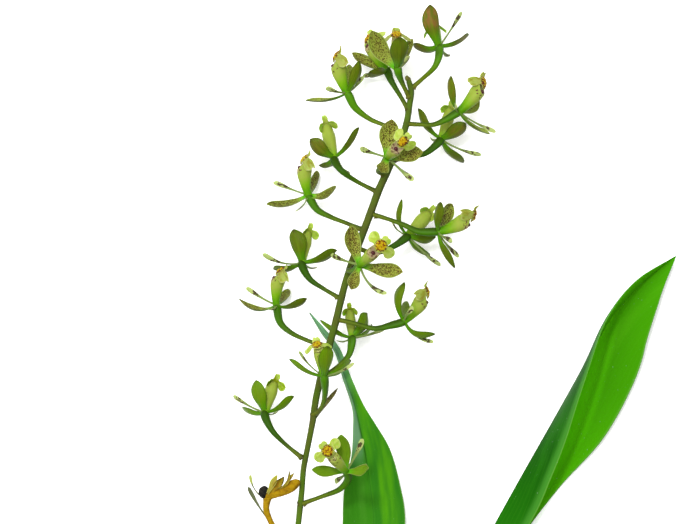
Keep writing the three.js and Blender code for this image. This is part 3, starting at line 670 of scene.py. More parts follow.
def blade(kind, root, tip, facing, wide, bow, thick, seed, tone, swing=0, face=None):
    n = {**bladeForm, **bladeSizes[kind]}
    along = tip - root

    def squared(a):  # to the blade's run
        return unit(a - along * (a @ along) / (along @ along))

    normal = squared(facing)
    if face is not None:  # degrees from lying level
        level, turn = squared(upward), math.radians(face)
        normal = level * math.cos(turn) + unit(np.cross(along, level)) * math.sin(turn)
    across = unit(np.cross(along, normal))
    left = unit(np.array([-along[1], along[0], 0.0]))
    phase = np.random.default_rng(seed).uniform(0, 6.28, 3)
    t = (1 - (1 - np.linspace(0, 1, n["rows"])) ** n["crowding"])[:, None]
    half = wide / 2 * profile(n["outline"], t[:, 0])[:, None]
    s, top = np.cos(angles(n["around"])), np.sin(angles(n["around"]))
    spine = root + along * t - normal * 4 * bow * t * (1 - t) + left * 4 * swing * t * (1 - t)
    body = thick / 2 * np.sqrt(np.maximum(0, 1 - np.abs(s) ** n["roundness"])) * np.sign(top)
    body = body * (1 - n["thinning"] * t) * np.minimum(1, 0.35 + half / 1.2)
    cup = n["cup"] * half * s * s
    keel = n["keelDeep"] * np.exp(-(s * half / n["keelHalf"]) ** 2)
    wave = n["waver"] * half * np.abs(s) ** 3 * np.sin(n["wavers"] * t + phase[0] + np.sign(s) * phase[1])
    skew = 1 + n["skew"] * np.sin(n["skews"] * t + phase[2]) * np.sign(s)
    rings = spine[:, None, :] + across * (s * half * skew)[..., None]
    rings = rings + normal * (cup - keel + wave + body)[..., None]
    plan = laid(s * half, t * np.linalg.norm(along), seed * 7.31)
    return closed(rings, kind, along=t, rim=np.abs(s), tone=tone, inner=0.5 + 0.5 * np.clip(top * 4, -1, 1),
                  plan=plan)


def ball(centre, axes, skin, rows=12, around=20):
    lat, lon = np.linspace(0.05, np.pi - 0.05, rows)[:, None], angles(around)
    shares = np.broadcast_arrays(np.sin(lat) * np.cos(lon), np.sin(lat) * np.sin(lon), np.cos(lat))
    return closed(centre + np.stack(shares, -1) @ np.array(axes), skin)


# The flowers. A sepal is its tip's x, y, rise over the heart, width, swing and facing, a petal the
# same without the width; axis is turn, tilt and roll in degrees
sideOn = {"fold": (1.25, -0.1), "spread": (0.8, 0.8)}
blooms = [
    {"centre": [439, 47, 29], "axis": [106, -25, 0], "size": 0.95, "spread": [0.78, 0.78],
     "sepals": [[429.5, 5, 4, 8.7, 1.3], [414, 46, -14, 9, 0.4, 120], [469, 34, -11, 8]],
     "petals": [[462, 12, -4, 0.6, -135], [449, 56, -13]],
     "stalk": [[410.5, 89, 23.4], [421, 80, 25], [436, 65, 32]]},
    {"centre": [398, 69, 36], "axis": [93, 17, 0], "size": 0.89,
     "sepals": [[399, 38, 15, 9.5], [371.5, 31.5, 2.5, 9.4, 2, 0], [412.5, 38.5, -11, 6, 0.8]],
     "petals": [[408, 57, 12], [383, 56, -9]],
     "stalk": [[408.8, 97, 24.3], [403, 85, 28.5], [399, 75, 34]]},
    {"centre": [386, 70, 19], "axis": [136, 0, -40], "size": 1,
     "sepals": [[352, 52, -4, 8.5], [369, 72, 15, 7.5], [405, 40, -3, 7]],
     "petals": [[363, 75, -9, 0, 42], [398, 55, -13, 0, -50]],
     "stalk": [[408, 110, 24], [402, 99, 23], [391, 80, 22]]},
    {"centre": [347, 93, 24], "axis": [131, 5, -90], "size": 1, **sideOn,
     "sepals": [[305, 100, -2, 7.5], [359, 61, 6, 8, 0, -128], [348, 64, -13, 8]],
     "petals": [[326, 88, 10, 0, 145], [363, 76, -7, 0, -45]],
     "stalk": [[402, 135, 24], [386, 126, 23], [370, 119, 22], [355, 107, 23]]},
    {"centre": [387.5, 158, 44], "axis": [46, 81, 0], "size": 1, "spread": [0.75, 0.75],
     "sepals": [[391.5, 120, 4, 9.6, 0.8], [422.5, 152.5, 7, 8.4], [381, 173, 15, 7]],
     "petals": [[360, 149, 7], [413, 181, 5]],
     "stalk": [[385, 174, 24], [378, 172, 30], [382, 166, 38]]},
    {"centre": [334, 158, 20], "axis": [103, -38, 178], "size": 0.92, "spread": [0.5, 0.78], "full": 1.1,
     "sepals": [[310, 139, 5, 8.5], [359, 127, 1, 7.5, 0, -115], [321, 166, -15, 7]],
     "petals": [[349, 175, -12], [313, 146, 3]],
     "stalk": [[377, 192, 24], [356, 181, 24], [342, 171, 26]]},
    {"centre": [308, 195, 16], "axis": [121, 5, -90], "size": 0.95, **sideOn,
     "sepals": [[266, 204, -1, 7.5, 0.7, 58], [336, 186.5, 11, 7.6, -1.4, -52], [316, 170, -13.5, 7]],
     "petals": [[273, 182, -5, -0.5, 35], [296, 211, 9]],
     "stalk": [[363, 230, 24], [346, 223, 22.5], [331, 217, 20], [317, 209, 17]]},
    {"centre": [459, 112, 26], "axis": [30, 10, 55], "size": 1, "fold": [1.15, -0.05], "spread": [0.8, 0.8],
     "sepals": [[451, 76, 8, 7.5, 0.8, 118], [480, 100, -14, 8], [490, 134, 0, 8]],
     "petals": [[456, 105, 12], [496, 132, -5, 0, -45]],
     "stalk": [[406, 123.5, 24], [420.5, 124.5, 24], [434, 124.5, 25], [448, 118.5, 26]]},
    {"centre": [441, 139, 16], "axis": [65, -32, 163], "size": 0.85, "spread": [0.6, 0.6], "full": 1.1,
     "sepals": [[466, 123, 7, 8.5], [418.5, 108, 0, 6.5, 0.5], [464, 162, -14.5, 7]],
     "petals": [[481.5, 155, -4, -0.4, -140], [431, 138, -12, 0, 140]],
     "stalk": [[393, 160, 24], [411, 157, 21], [426, 153, 19]]},
    {"centre": [438, 232, 27], "axis": [0, 2, 90], "size": 1.02, **sideOn,
     "sepals": [[441, 202, 12, 7, 0, 130], [453, 204, -12, 9, 0, 40], [455, 268, 0, 7.5, 0, -115]],
     "petals": [[452, 241, 12], [459, 257, -8, 0, -40]],
     "stalk": [[369, 213, 24], [391, 220, 25], [404, 225, 26], [418, 231.5, 27]]},
    {"centre": [408, 236, 17], "axis": [46, -36, 176], "size": 0.85, "spread": [0.62, 0.62], "full": 1.3,
     "sepals": [[402, 199, 0, 7, 1.8, 110], [436, 237, 0, 8.5], [430, 256, -12, 7]],
     "petals": [[440.6, 266, -4, 0, -140], [392, 222, -11]],
     "stalk": [[357, 248, 24], [376, 253, 21], [394, 246, 19]]},
    {"centre": [360, 265, 44], "axis": [43, 68, 0], "size": 1,
     "sepals": [[350.3, 226, 3, 8.8, 0.3], [402.5, 272, 5, 8], [351, 289, 13, 6.4]],
     "petals": [[331, 255, 7], [386, 294, 4, -2.4]],
     "stalk": [[352, 262, 24], [348, 270, 30], [354, 270, 37]]},
    {"centre": [302, 263, 16.5], "axis": [88, -38, -161], "size": 0.86, "spread": [0.5, 0.75], "full": 1.1,
     "sepals": [[293.5, 229, 3, 9, -0.8], [337, 250, 0, 8, 0, -125], [273, 269, -14, 6.6]],
     "petals": [[262.5, 254, 9, 1.4, 140], [316, 268, -11]],
     "stalk": [[341, 299, 24], [324, 289, 22.5], [310, 279, 21]]},
    {"centre": [276, 305, 17], "axis": [108, 6, -90], "size": 0.9, **sideOn,
     "sepals": [[307, 298, 9, 7.5, -1, -112], [238.5, 298.5, -3, 6.6, 2.2, 72], [286, 289, -15.4, 7.5]],
     "petals": [[246, 287.5, -6, 0, 35], [270, 309, 12]],
     "stalk": [[327.6, 347.6, 24], [306, 340, 22.5], [290, 332, 20], [280, 322, 18]]},
    {"centre": [404, 321.5, 26], "axis": [27, 2, 90], "size": 0.97, **sideOn,
     "sepals": [[404.5, 282, 5, 7.5, 2.2, 124], [409, 303, -16, 8], [435.5, 334, -2, 8, -2.4, -115]],
     "petals": [[413, 307, 11], [433.5, 342.5, -4, -1.5, -45]],
     "stalk": [[336, 319, 24], [357, 324, 24.5], [375, 328.5, 25], [393, 325, 26]]},
    {"centre": [352, 338, 17], "axis": [95, -38, 180], "size": 0.74, "spread": [0.64, 0.66], "full": 1.1,
     "sepals": [[367, 313, -6, 8.5, 0, -137], [372, 325, -12, 7], [320, 320, -3, 6.5, 0, 112]],
     "petals": [[337, 341, -10], [385, 329, -3, 0, -140]],
     "stalk": [[321, 377, 24], [336, 368, 20], [349, 355, 19]]},
    {"centre": [324, 376, 47], "axis": [102, 24, 0], "size": 0.84,
     "sepals": [[327, 345, 14, 8, 0, -160], [289.5, 358.5, -3, 7, 0, 110], [351, 360, -10, 7.5, 0, -122]],
     "petals": [[299, 351, 0, 0, 60], [354, 363, 4, 0, -50]],
     "stalk": [[313, 415, 24], [321, 408, 31], [325, 395, 39]]},
    {"centre": [265, 413, 19], "axis": [82, -38, -161], "size": 0.86, "spread": [0.62, 0.8], "full": 1.2,
     "sepals": [[256, 380, 3, 8], [294, 396, 0, 7.5, 0, -118], [242, 408, -14, 7]],
     "petals": [[233, 396, -4, 0, 140], [277, 412, -12]],
     "stalk": [[302, 458, 24], [284, 443, 23.5], [272, 430, 23]]},
    {"centre": [346, 471, 36], "axis": [131, 66, 0], "size": 0.95,
     "sepals": [[341, 434, 3, 8], [312, 469, 3, 6], [368.5, 467, 13, 6]],
     "petals": [[363, 438.5, 2], [335, 482, -9]],
     "stalk": [[298, 505, 24], [323, 496, 25], [340, 489, 27], [348, 479, 31]]},
]
throatSizes = {
    "rows": 26, "around": 36, "square": 0.92, "pinch": 0.12, "opened": 16,
    "stations": (0, 0.27, 0.55, 0.86, 1),
    # at each station the back and the lip side, each forward and up, and the half width
    "shape": [(-1.2, -1.9, -1.2, 1.9, 1.7), (3.4, -1.3, 3.2, 3.4, 2.2), (8, -0.5, 7.6, 6.4, 2.8),
              (12.2, 0.6, 12.4, 9.2, 3.2), (14.3, 1.7, 16.6, 9.7, 2.9)],
    # the mouth's rings: the mark along, share of the last ring, and how far forward
    "mouth": [(1.0, 0.95, 0.2), (1.02, 0.86, 0.16), (1.05, 0.74, -0.1), (1.1, 0.5, -0.35),
              (1.15, 0.2, -0.4)],
}
lipSizes = {
    "slope": 72, "footW": 15.5, "footU": 2.9, "centre": 5.5, "thick": 0.5, "points": 133, "crinkle": 0.22,
    "crinkles": (9, 17), "padHeight": 1.15, "padRadius": 3.2, "ridges": 0.3, "tipRise": 0.08,
    "tipFrom": 7.0, "slant": 0.12,
    "flat": 2.7, "flatLoss": 1.3, "lossFrom": 6.7, "lossOver": 0.9,  # half width that isn't folded
    "rings": [0.03, 0.12, 0.2, 0.28, 0.36, 0.44, 0.52, 0.6, 0.68, 0.76, 0.84, 0.9, 0.95, 0.985, 1.0],
    # right half of the outline from its tip round to its foot, in millimetres across and along
    "outline": [(0, 10.9), (1.2, 11.1), (2.2, 10.3), (2.6, 9.1), (2.3, 8.2), (2.9, 7.7), (4.2, 8.4),
                (5.8, 8.7), (7.4, 7.9), (8.2, 6.2), (7.9, 4.3), (6.9, 2.9), (5.4, 2.4), (4, 3.1),
                (3, 3.2), (2.2, 2.5), (1.2, 2.1), (0, 2)],
}
bloomSizes = {"sepalThick": 0.75, "petalThick": 0.6, "petalWide": 2.9, "sepalBow": 2.2, "petalBow": 1.2,
              "antherW": 15.0, "antherU": 3.5, "anther": (0.9, 1.0, 1.1)}
stalkSizes = {"points": 64, "thin": 1.15, "ovary": 2.1, "behind": 1.2, "inside": 1.4, "scaleSeat": 0.8,
              "scale": 0.7}
# Shades of each flower in turn, from 0 to 1, or of those whose number is given
bloomTones = [0.9, 0.6, 0.75, 0.4, 0.85, 0.7, 0.8, 0.4, 0.7, 0.8, 0.4, 0.9, 0.55, 0.7, 0.25, 0.15, 0.1,
              0.1, 0.12]  # how brown, speckled and old it is
stalkShades = [0.1, 0.2, 0.8, 0.15, 0.3, 0.85, 0.4, 0.3, 0.8, 0.5, 0.85, 0.3, 0.9, 0.55, 0.55, 0.3,
               0.25, 0.9, 0.35]  # how deep a green its stalk is
backTones = {1: 1.0, 4: 0.5, 7: 0.5, 8: 0.4, 6: 0.3, 9: 0.3, 3: 0.4}  # brown on outer sides, else 0.1
shadeTones = {2: 0.6, 7: 1.0, 14: 0.7, 10: 0.5, 15: 0.3, 3: 0.3}  # painted shade on inner sides, else 0
lipShades = {2: 0.9}  # painted shade on a lip whose near lobe is seen from the side, though it isn't folded flat
touching = [7, 9, 14]  # flowers that lie on the surface
stalkScales = {6: (361.5, 180, 24.8), 13: (326.5, 289, 23.4)}  # stalks that carry a small scale, and where


def turned(axis):  # w along the flower, u towards its lip, v across
    turn, tilt, roll = (math.radians(a) for a in axis)
    ahead = np.array([math.cos(turn), math.sin(turn), 0.0])
    left = np.array([-math.sin(turn), math.cos(turn), 0.0])
    w = ahead * math.cos(tilt) + upward * math.sin(tilt)
    u = (ahead * math.sin(tilt) - upward * math.cos(tilt)) * math.cos(roll) + left * math.sin(roll)
    return w, u, np.cross(w, u)


def stalkParts(number, points, heart, w):  # the stalk with its ovary, and the scale that some carry
    n = stalkSizes
    line = route([*[at(*p) for p in points], heart - w * n["behind"], heart + w * n["inside"]], n["points"])
    shape = [(a, b * n["thin"]) for a, b in ((0, 1.55), (0.05, 1.15), (0.15, 1), (0.5, 1.12))]
    shape += [(a, b * n["ovary"]) for a, b in ((0.72, 0.82), (0.86, 1), (0.94, 0.98), (1, 0.6))]
    girth = profile(shape, np.linspace(0, 1, len(line)))
    parts = [marked(swept(line, girth, "stalk"), rim=stalkShades[number - 1])]
    if number in stalkScales:
        seat = at(*stalkScales[number])
        i = np.argmin(np.linalg.norm(line - seat, axis=1))
        seat = line[i] + unit(seat - line[i]) * girth[i] * n["scaleSeat"]
        parts.append(scales([seat], [line[i + 4] - line[i]], [n["scale"]]))
    return parts


def throatPart(heart, w, u, v, size, full, seed):
    n = throatSizes
    t = np.linspace(0, 1, n["rows"])
    shape = smooth(n["stations"], n["shape"], t)
    turn = angles(n["around"])
    c, s = (np.sign(a) * np.abs(a) ** n["square"] for a in (np.cos(turn), np.sin(turn)))
    rows = [(row, mark, 1.0, 0.0) for row, mark in zip(shape, t)]
    rows += [(shape[-1], *end) for end in n["mouth"]]
    rings = []
    for row, mark, share, forth in rows:
        back = heart + w * row[0] * size + u * row[1] * size
        lip = heart + w * row[2] * size + u * row[3] * size
        middle, reach = (back + lip) / 2, (lip - back) / 2
        forward = unit(np.cross(v, reach))
        forward = forward * np.sign(forward @ w)
        pinch = 1 - n["pinch"] * c * (0.3 + 0.7 * min(1, mark))
        ring = middle + forward * forth * size + reach * (share * c)[:, None]
        rings.append(ring + v * (row[4] * full * size * share * s * pinch)[:, None])
    along = np.array([[mark] for row, mark, share, forth in rows])
    plan = laid(turn / (2 * np.pi) * n["opened"], along * n["opened"], seed * 5.7)
    return closed(np.array(rings), "throat", along=along, turn=c, plan=plan)


def lipPart(heart, w, u, v, size, spread, fold, seed):
    n = lipSizes
    slope = math.radians(n["slope"])
    out = w * math.cos(slope) + u * math.sin(slope)
    face = w * math.sin(slope) - u * math.cos(slope)
    foot = heart + w * n["footW"] * size + u * n["footU"] * size
    right = np.array([(x, y, 0) for x, y in n["outline"]], float)
    loop = np.concatenate([right, right[-2:0:-1] * [-1, 1, 1], right[:1]])
    edge = route(loop, n["points"])[:-1] - [0, n["centre"], 0]
    theta = np.arctan2(edge[:, 1], edge[:, 0])
    phase = np.random.default_rng(seed + 900).uniform(0, 6.28, 4)
    broad, fine = n["crinkles"]

    def layer(rho, side):
        rho = rho[:, None]
        x, y = rho * edge[:, 0], n["centre"] + rho * edge[:, 1]
        flat = n["flat"] - n["flatLoss"] * np.clip((y - n["lossFrom"]) / n["lossOver"], 0, 1)
        beyond = np.sqrt(np.maximum(0, np.abs(x) - flat) ** 2 + 0.2) - 0.447
        h = n["tipRise"] * np.maximum(0, y - n["tipFrom"]) ** 2
        crinkle = np.sin(broad * theta + phase[0]) + 0.6 * np.sin(fine * theta + phase[1])
        h = h + n["crinkle"] * rho ** 4 * crinkle
        if side > 0:
            pad = np.clip(1 - (np.hypot(x, y - n["centre"]) / n["padRadius"]) ** 4, 0, 1)
            ridges = n["ridges"] * np.cos(2.4 * x + phase[2]) * np.cos(1.3 * y + phase[3])
            h = h + n["padHeight"] * pad * (1 + ridges * pad)
        h = h + side * n["thick"] / 2 * np.sqrt(np.maximum(0, 1 - rho ** 6))
        reach = x * size * np.where(x < 0, *spread)
        spots = (foot + v * reach[..., None] + out * ((y + n["slant"] * np.abs(x)) * size)[..., None]
                 + face * (h * size)[..., None] + (u * fold[1] - w * fold[0]) * (beyond * size)[..., None])
        return spots, laid(x, y - n["centre"], seed * 3.9), rho, np.full(rho.shape, (side + 1) / 2)

    rho = np.array(n["rings"])
    rings, plan, rim, inner = (np.concatenate(two) for two in zip(layer(rho, 1), layer(rho[-2::-1], -1)))
    inner[len(rho) - 1] = 0.5
    return closed(rings, "lip", plan=plan, rim=rim, inner=inner)


def flowerParts(number, row):
    n = bloomSizes
    heart, size, tone = at(*row["centre"]), row["size"], bloomTones[number - 1]
    w, u, v = turned(row["axis"])
    stalk, *scale = stalkParts(number, row["stalk"], heart, w)
    throat = throatPart(heart, w, u, v, size, row.get("full", 1), number)
    behind = float(abs(row["axis"][2]) > 150)
    parts = [stalk, marked(throat, tone=tone, rim=behind)]
    for k, (x, y, rise, wide, *bend) in enumerate(row["sepals"]):
        sepal = blade("sepal", heart, at(x, y, row["centre"][2] + rise), w, wide, n["sepalBow"],
                      n["sepalThick"], number * 10 + k, tone, *bend)
        flush = backTones.get(number, 0.1) * (0.4 if k else 1)  # the upper sepal is the brownest
        parts.append(marked(sepal, back=flush, turn=shadeTones.get(number, 0.0)))
    for k, (x, y, rise, *bend) in enumerate(row["petals"]):
        parts.append(blade("petal", heart, at(x, y, row["centre"][2] + rise), w, n["petalWide"],
                           n["petalBow"], n["petalThick"], number * 10 + 5 + k, tone, *bend))
    spot = heart + w * n["antherW"] * size + u * n["antherU"] * size
    anther = ball(spot, [axis * a * size for axis, a in zip((w, u, v), n["anther"])], "anther")
    parts += [*scale, marked(anther, tone=tone)]
    fold = row.get("fold", (0.9, 0.29))
    lip = lipPart(heart, w, u, v, size, row.get("spread", (1, 1)), fold, number)
    lip = marked(lip, tone=tone, back=lipShades.get(number, float(fold[1] < 0)))
    if number in touching:
        low = min(p["points"][:, 2].min() for p in parts)
        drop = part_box("bloom_%02d" % number)[0][2] / mm - low
        for p in [*parts, lip]:
            p["points"] = p["points"] + upward * drop
    return parts, lip


for number, row in enumerate(blooms, 1):
    parts, lip = flowerParts(number, row)
    build("flower_%02d" % number, parts, "bloom_%02d" % number)
    build("flowerLip_%02d" % number, [lip], "lip_%02d" % number)
print("flowers made:", len(blooms))


# The stem, its cane and the joints that the flower stalks leave from
stemLine = [
    [344, 892, 5.95], [343, 868, 5.99], [340, 838, 6.2], [334, 806, 7.2], [329, 784, 8.4], [314, 734, 11.5],
    [301, 674, 16], [294.5, 612, 20], [294, 562, 22.5], [298.4, 523, 24], [301.8, 491, 24],
    [303.6, 469, 24], [307.8, 447, 24], [312.6, 422, 24], [316, 399, 24], [322, 373, 24], [328.8, 347, 24],
    [335.5, 323, 24], [340.7, 301, 24], [346.5, 279, 24], [355, 254, 24], [364, 230, 24], [371.2, 211, 24],
    [378.4, 191, 24], [387, 172, 24], [398, 147, 24], [405.8, 126, 24], [409.6, 104, 24], [411.2, 91, 24],
    [407.8, 78, 24],
]
stemGirth = [
    [0, 5.6], [0.03, 6], [0.09, 5.5], [0.11, 3.4], [0.14, 2.5], [0.25, 1.9], [0.45, 1.65], [0.55, 1.65],
    [0.6, 1.95], [0.75, 1.95], [0.86, 2.1], [0.93, 1.85], [0.97, 1.65], [1, 1.45],
]
stemSizes = {"points": 420, "jointSwell": 0.06, "jointSpan": 3.5, "slim": 0.9, "scaleOut": 0.5,
             "scaleDown": 1.25, "scaleLean": 0.25, "scaleShares": (0.75, 1.05), "scaleSeed": 12}
stemSweep = {"Sides": 28, "Rib Depth": 0.018, "Rib Count": 9.0, "Twist": 6.0, "Waver": 0.06}
bract = {"root": (314.5, 420, 22.8), "tip": (338, 388, 22), "facing": (0.6, 0.2, 1), "wide": 2.3, "bow": 1,
         "thick": 0.5, "seed": 77}
tipBuds = [(-0.35, -0.2, 1.15), (0.5, -0.8, 0.95), (-0.2, 0.5, 0.7)]  # aside, up and size


def stemParts():
    n = stemSizes
    line = route([at(*p) for p in stemLine], n["points"])
    share = np.linspace(0, 1, n["points"])
    joint = np.zeros(n["points"])
    for row in blooms:
        away = np.linalg.norm(line - at(*row["stalk"][0]), axis=1) / n["jointSpan"]
        joint = np.maximum(joint, np.exp(-away ** 2))
    girth = profile(stemGirth, share) * n["slim"] * (1 + n["jointSwell"] * joint)
    girth[-2:] *= [0.75, 0.3]  # rounds the tip off
    stem = swept(line, girth, "stem", **stemSweep)
    stem["marks"]["tone"] = np.interp(stem["marks"]["along"], share, joint)
    leaf = blade("sepal", at(*bract["root"]), at(*bract["tip"]), np.array(bract["facing"]), bract["wide"],
                 bract["bow"], bract["thick"], bract["seed"], 0.5)
    leaf["skin"] = "bract"
    seats, aims = [], []
    for row in blooms:
        start, onward = at(*row["stalk"][0]), at(*row["stalk"][1])
        i = np.argmin(np.linalg.norm(line - start, axis=1))
        up, out = unit(line[min(i + 4, len(line) - 1)] - line[i - 4]), unit(onward - start)
        seats.append(line[i] + out * (girth[i] + n["scaleOut"]) - up * n["scaleDown"])
        aims.append(unit(out + up * n["scaleLean"]))
    sizes = np.random.default_rng(n["scaleSeed"]).uniform(*n["scaleShares"], len(seats))
    tip, up = line[-1], unit(line[-1] - line[-8])
    aside = unit(np.cross(up, upward))
    buds = [ball(tip + aside * shift + up * rise, (aside * r, np.cross(aside, up) * r, up * r * 1.35),
                 "bract", 10, 14) for shift, rise, r in tipBuds]
    return [stem, leaf, *buds, scales(seats, aims, sizes)]


build("flowerStem", stemParts(), "stem")
print("stem made")


# The leaves: x, y, height, left half, right half, left fold, right fold and roll along the keel
backLeaf = [
    [331, 790, 4.6, 3.6, 3.6, 62, 62, 0], [336, 750, 4, 5, 5, 50, 50, 0], [351, 690, 3.6, 9, 9, 36, 36, 0],
    [365, 610, 3.2, 14, 14, 25, 25, 0], [374, 524, 3, 17.5, 17.5, 22, 22, 0],
    [371, 490, 3, 16, 16.5, 28, 22, 0], [366, 455, 3, 11, 14, 45, 24, 0], [360, 430, 3, 8, 9.6, 62, 25, 0],
    [354, 407, 3, 5.2, 5.2, 80, 20, 0], [344.5, 380, 3, 4, 3.8, 84, 15, 0],
    [335.5, 352, 3, 3, 2.8, 84, 15, 0], [321, 331, 3, 2.4, 2.2, 80, 15, 0],
    [309, 313, 3, 0.5, 0.5, 80, 15, 0],
]
rightLeaf = [
    [354, 836, 9.2, 5, 5, 42, 42, -62], [362, 804, 8.6, 6, 6, 50, 50, -50],
    [384, 752, 8.4, 8, 8, 58, 58, -10], [412, 686, 8, 11, 11, 66, 66, 40],
    [450, 608, 7, 14, 14, 72, 72, 80], [496, 524, 5, 16, 16, 75, 78, 90], [528, 468, 3, 20, 20, 42, 88, 90],
    [559, 414, 1.6, 25, 27, 18, 96, 90], [588, 362, 1.4, 25, 27, 4, 97, 90],
    [611, 320, 2, 20, 23, -3, 98, 88], [642, 284, 3, 12, 14, -8, 98, 84],
    [677, 256, 4.5, 0.5, 0.5, -5, 95, 80],
]
leafSizes = {"rows": 150, "around": 64, "thick": 1.2, "crease": 0.03, "sag": 0.05, "tipTaper": 14}


def leafPart(stations, skin, node, seed):
    n = leafSizes
    stations = np.array(stations, float)
    keelPoints = np.array([at(*s[:3]) for s in stations])
    knots = runAlong(keelPoints, 0.5)
    t = np.linspace(0, knots[-1], n["rows"])
    keel = smooth(knots, keelPoints, t)
    leftHalf, rightHalf, leftFold, rightFold, roll = smooth(knots, stations[:, 3:], t).T[..., None]
    along = unit(np.gradient(keel, axis=0))
    aside = unit(np.cross(along, upward))
    roll = np.radians(roll)
    normal = np.cross(aside, along) * np.cos(roll) + aside * np.sin(roll)
    side = unit(np.cross(along, normal))
    side, normal = side[:, None, :], normal[:, None, :]
    s, top = np.cos(angles(n["around"])), np.sin(angles(n["around"]))
    q = np.sqrt(s * s + n["crease"] ** 2) - n["crease"]
    sign = np.where(s < 0, -1.0, 1.0)
    half = np.where(s < 0, leftHalf, rightHalf)
    fold = np.radians(np.where(s < 0, leftFold, rightFold))
    lift = half * (q * np.sin(fold) - n["sag"] * np.sin(np.pi * q))
    reach = sign * half * q * np.cos(fold)
    middle = keel[:, None, :] + side * reach[..., None] + normal * lift[..., None]
    out = normal * np.cos(fold)[..., None] - side * (sign * np.sin(fold))[..., None]
    share = np.linspace(0, 1, n["rows"])[:, None]
    body = n["thick"] / 2 * np.sqrt(np.maximum(0, 1 - np.abs(s) ** 3))
    body = body * np.minimum(1, (1.001 - share) * n["tipTaper"])
    plan = laid(s * half, runAlong(keel)[:, None], seed)
    rings = middle + out * (np.sign(top) * body)[..., None]
    part = closed(rings, skin, along=share, rim=np.abs(s), plan=plan,
                  inner=0.5 + 0.5 * np.clip(top * 5, -1, 1))
    part["points"][:, 2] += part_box(node)[0][2] / mm - part["points"][:, 2].min()
    return [part]


build("backLeaf", leafPart(backLeaf, "leafBack", "leaf_back", 9), "leaf_back")
build("rightLeaf", leafPart(rightLeaf, "leafRight", "leaf_right", 10), "leaf_right")
print("leaves made")


# The withered flower
witheredSizes = {
    "stalk": [(296, 556, 22.5), (284, 540, 23), (271, 522, 23), (266.5, 509, 24), (268, 497, 25)],
    "stalkGirth": [(0, 1.4), (0.6, 1.45), (0.85, 1.7), (1, 2.3)],
    "lobe": [(266, 496, 25), (277, 493.5, 26), (289, 488, 27.5), (299, 481, 29.5)],
    "lobeGirth": [(0, 2.1), (0.3, 2.1), (0.65, 2.5), (0.88, 2.4), (0.96, 1.7), (1, 0.8)],
    "tubes": (("stalk", 40, 0.2, 41), ("lobe", 40, 0.4, 42)),  # points, crumpling and seed
    "knot": (264, 492, 25), "knotSize": (2.6, 3.1, 2.8), "knotCrumpled": (0.4, 43),
    # root, tip, width, bow, swing, facing, pale edge, paleness and burning of the tip
    "shreds": [((266.5, 495.5, 26.5), (277.5, 474.5, 30.5), 3.3, -0.8, -0.4, -20, 0.9, 0.45, 0.0),
               ((270, 494, 27), (284, 476.5, 30.5), 4.0, -0.8, 0.5, 25, 0.2, 0.05, 1.15),
               ((279, 489, 28.5), (289.5, 470.5, 31.5), 1.8, -1.2, -1.3, 30, 0.3, 0.3, 1.2),
               ((283, 486, 28.5), (294, 472.5, 31), 2.0, -0.9, -0.8, -30, 0.4, 0.25, 1.1)],
    # root, tip, width, bow, swing and paleness
    "strands": [((259.5, 495, 24), (250, 475, 24), 1.6, -1, 1.3, 1.0),
                ((273, 525, 22.8), (248, 487, 22), 2.1, 1, 0.6, 0.0)],
    "shredThick": 0.6, "shredCrumpled": 0.35, "strandThick": 0.7,
}


def crumpled(part, depth, seed):
    chance = np.random.default_rng(seed)
    waves = chance.normal(0, 0.9, (5, 3))
    phase = chance.uniform(0, 6.28, 5)
    shift = sum(np.sin(part["points"] @ k + p) for k, p in zip(waves, phase)) / 5
    middle = part["points"].mean(0)
    part["points"] = part["points"] + unit(part["points"] - middle) * (shift * depth)[:, None]
    return part


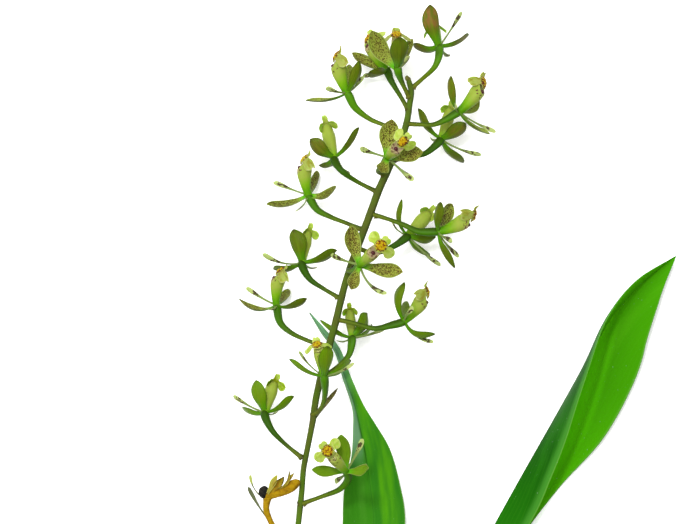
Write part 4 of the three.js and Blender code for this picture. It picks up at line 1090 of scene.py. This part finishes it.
def witheredParts():
    n = witheredSizes
    parts = []
    for name, count, depth, seed in n["tubes"]:
        line = route([at(*p) for p in n[name]], count)
        girth = profile(n[name + "Girth"], np.linspace(0, 1, count))
        tube = swept(line, girth, "dried", Sides=32, Waver=0.5)
        parts.append(marked(crumpled(tube, depth, seed), tone=0.0))
    parts.append(crumpled(ball(at(*n["knot"]), np.diag(n["knotSize"]), "knot", 16, 26), *n["knotCrumpled"]))
    for k, (root, tip, wide, bow, swing, face, edge, pale, burnt) in enumerate(n["shreds"]):
        shred = blade("sepal", at(*root), at(*tip), upward, wide, bow, n["shredThick"], 300 + k, 0.5,
                      swing, face)
        shred["skin"] = "dried"
        marks = shred["marks"]
        marks["tone"] = pale + marks["rim"] ** 2 * edge * (1 - pale)
        marks["along"] = marks["along"] + burnt * (0.7 + 0.4 * marks["rim"] ** 3)
        parts.append(crumpled(shred, n["shredCrumpled"], 50 + k))
    for k, (root, tip, wide, bow, swing, pale) in enumerate(n["strands"]):
        strand = blade("petal", at(*root), at(*tip), np.array([0.3, 0, 1]), wide, bow, n["strandThick"],
                       310 + k, pale, swing)
        strand["skin"] = "strand"
        parts.append(strand)
    return parts


build("witheredFlower", witheredParts(), "bloom_withered")
print("withered flower made")


# Camera, floor and lights, in metres from the middle of the view, and degrees
view = {"x": 350.0, "y": 262.0, "width": 0.35, "height": 0.024, "distance": 5.0, "sensor": 36.0,
        "far": 30.0}
studio = {"floor": (250, 250, 249, 1), "speck": (252, 252, 252, 1), "half": 3.0, "drop": 0.0002, "sky": 0.5}
lamps = {
    "softBox": {"shape": "DISK", "size": 2.6, "energy": 62.0, "place": (-0.5, 0.6, 1.9),
                "turn": (-17, -15, 0)},
    "keyBox": {"shape": "SQUARE", "size": 0.14, "energy": 8.0, "place": (-0.15, 0.35, 1.2),
               "turn": (-16, -7, 0)},
}
middle = at(view["x"], view["y"], 0) * mm
camera = bpy.data.cameras.new("camera")
camera.sensor_width = view["sensor"]
camera.lens = view["sensor"] * view["distance"] / view["width"]
camera.clip_end = view["far"]
scene.camera = placed("camera", camera, middle + upward * (view["height"] + view["distance"]))

floorMesh = bpy.data.meshes.new("floor")
half, drop = studio["half"], studio["drop"]
corners = [(-half, -half, -drop), (half, -half, -drop), (half, half, -drop), (-half, half, -drop)]
floorMesh.from_pydata(corners, [], [(0, 1, 2, 3)])
f = Finish("floorPaint", {name: studio[name] for name in ("floor", "speck")}, Roughness=0.9,
           Specular_IOR_Level=0.1, Emission_Strength=0.22)
paper = f.blend(f.noise(f.place(), 60.0), "floor", "speck")
floorMesh.materials.append(f.feed(Base_Color=paper, Emission_Color=paper))
placed("floor", floorMesh)

world = bpy.data.worlds.new("studio")
world.use_nodes = True
sky = world.node_tree.nodes["Background"]
sky.inputs["Color"].default_value = (1, 1, 1, 1)
sky.inputs["Strength"].default_value = studio["sky"]
scene.world = world
for name, n in lamps.items():
    lamp = bpy.data.lights.new(name, "AREA")
    lamp.shape, lamp.size, lamp.energy = n["shape"], n["size"], n["energy"]
    placed(name, lamp, middle + n["place"], n["turn"])
scene.view_settings.view_transform = "Standard"
print("camera and lights made")
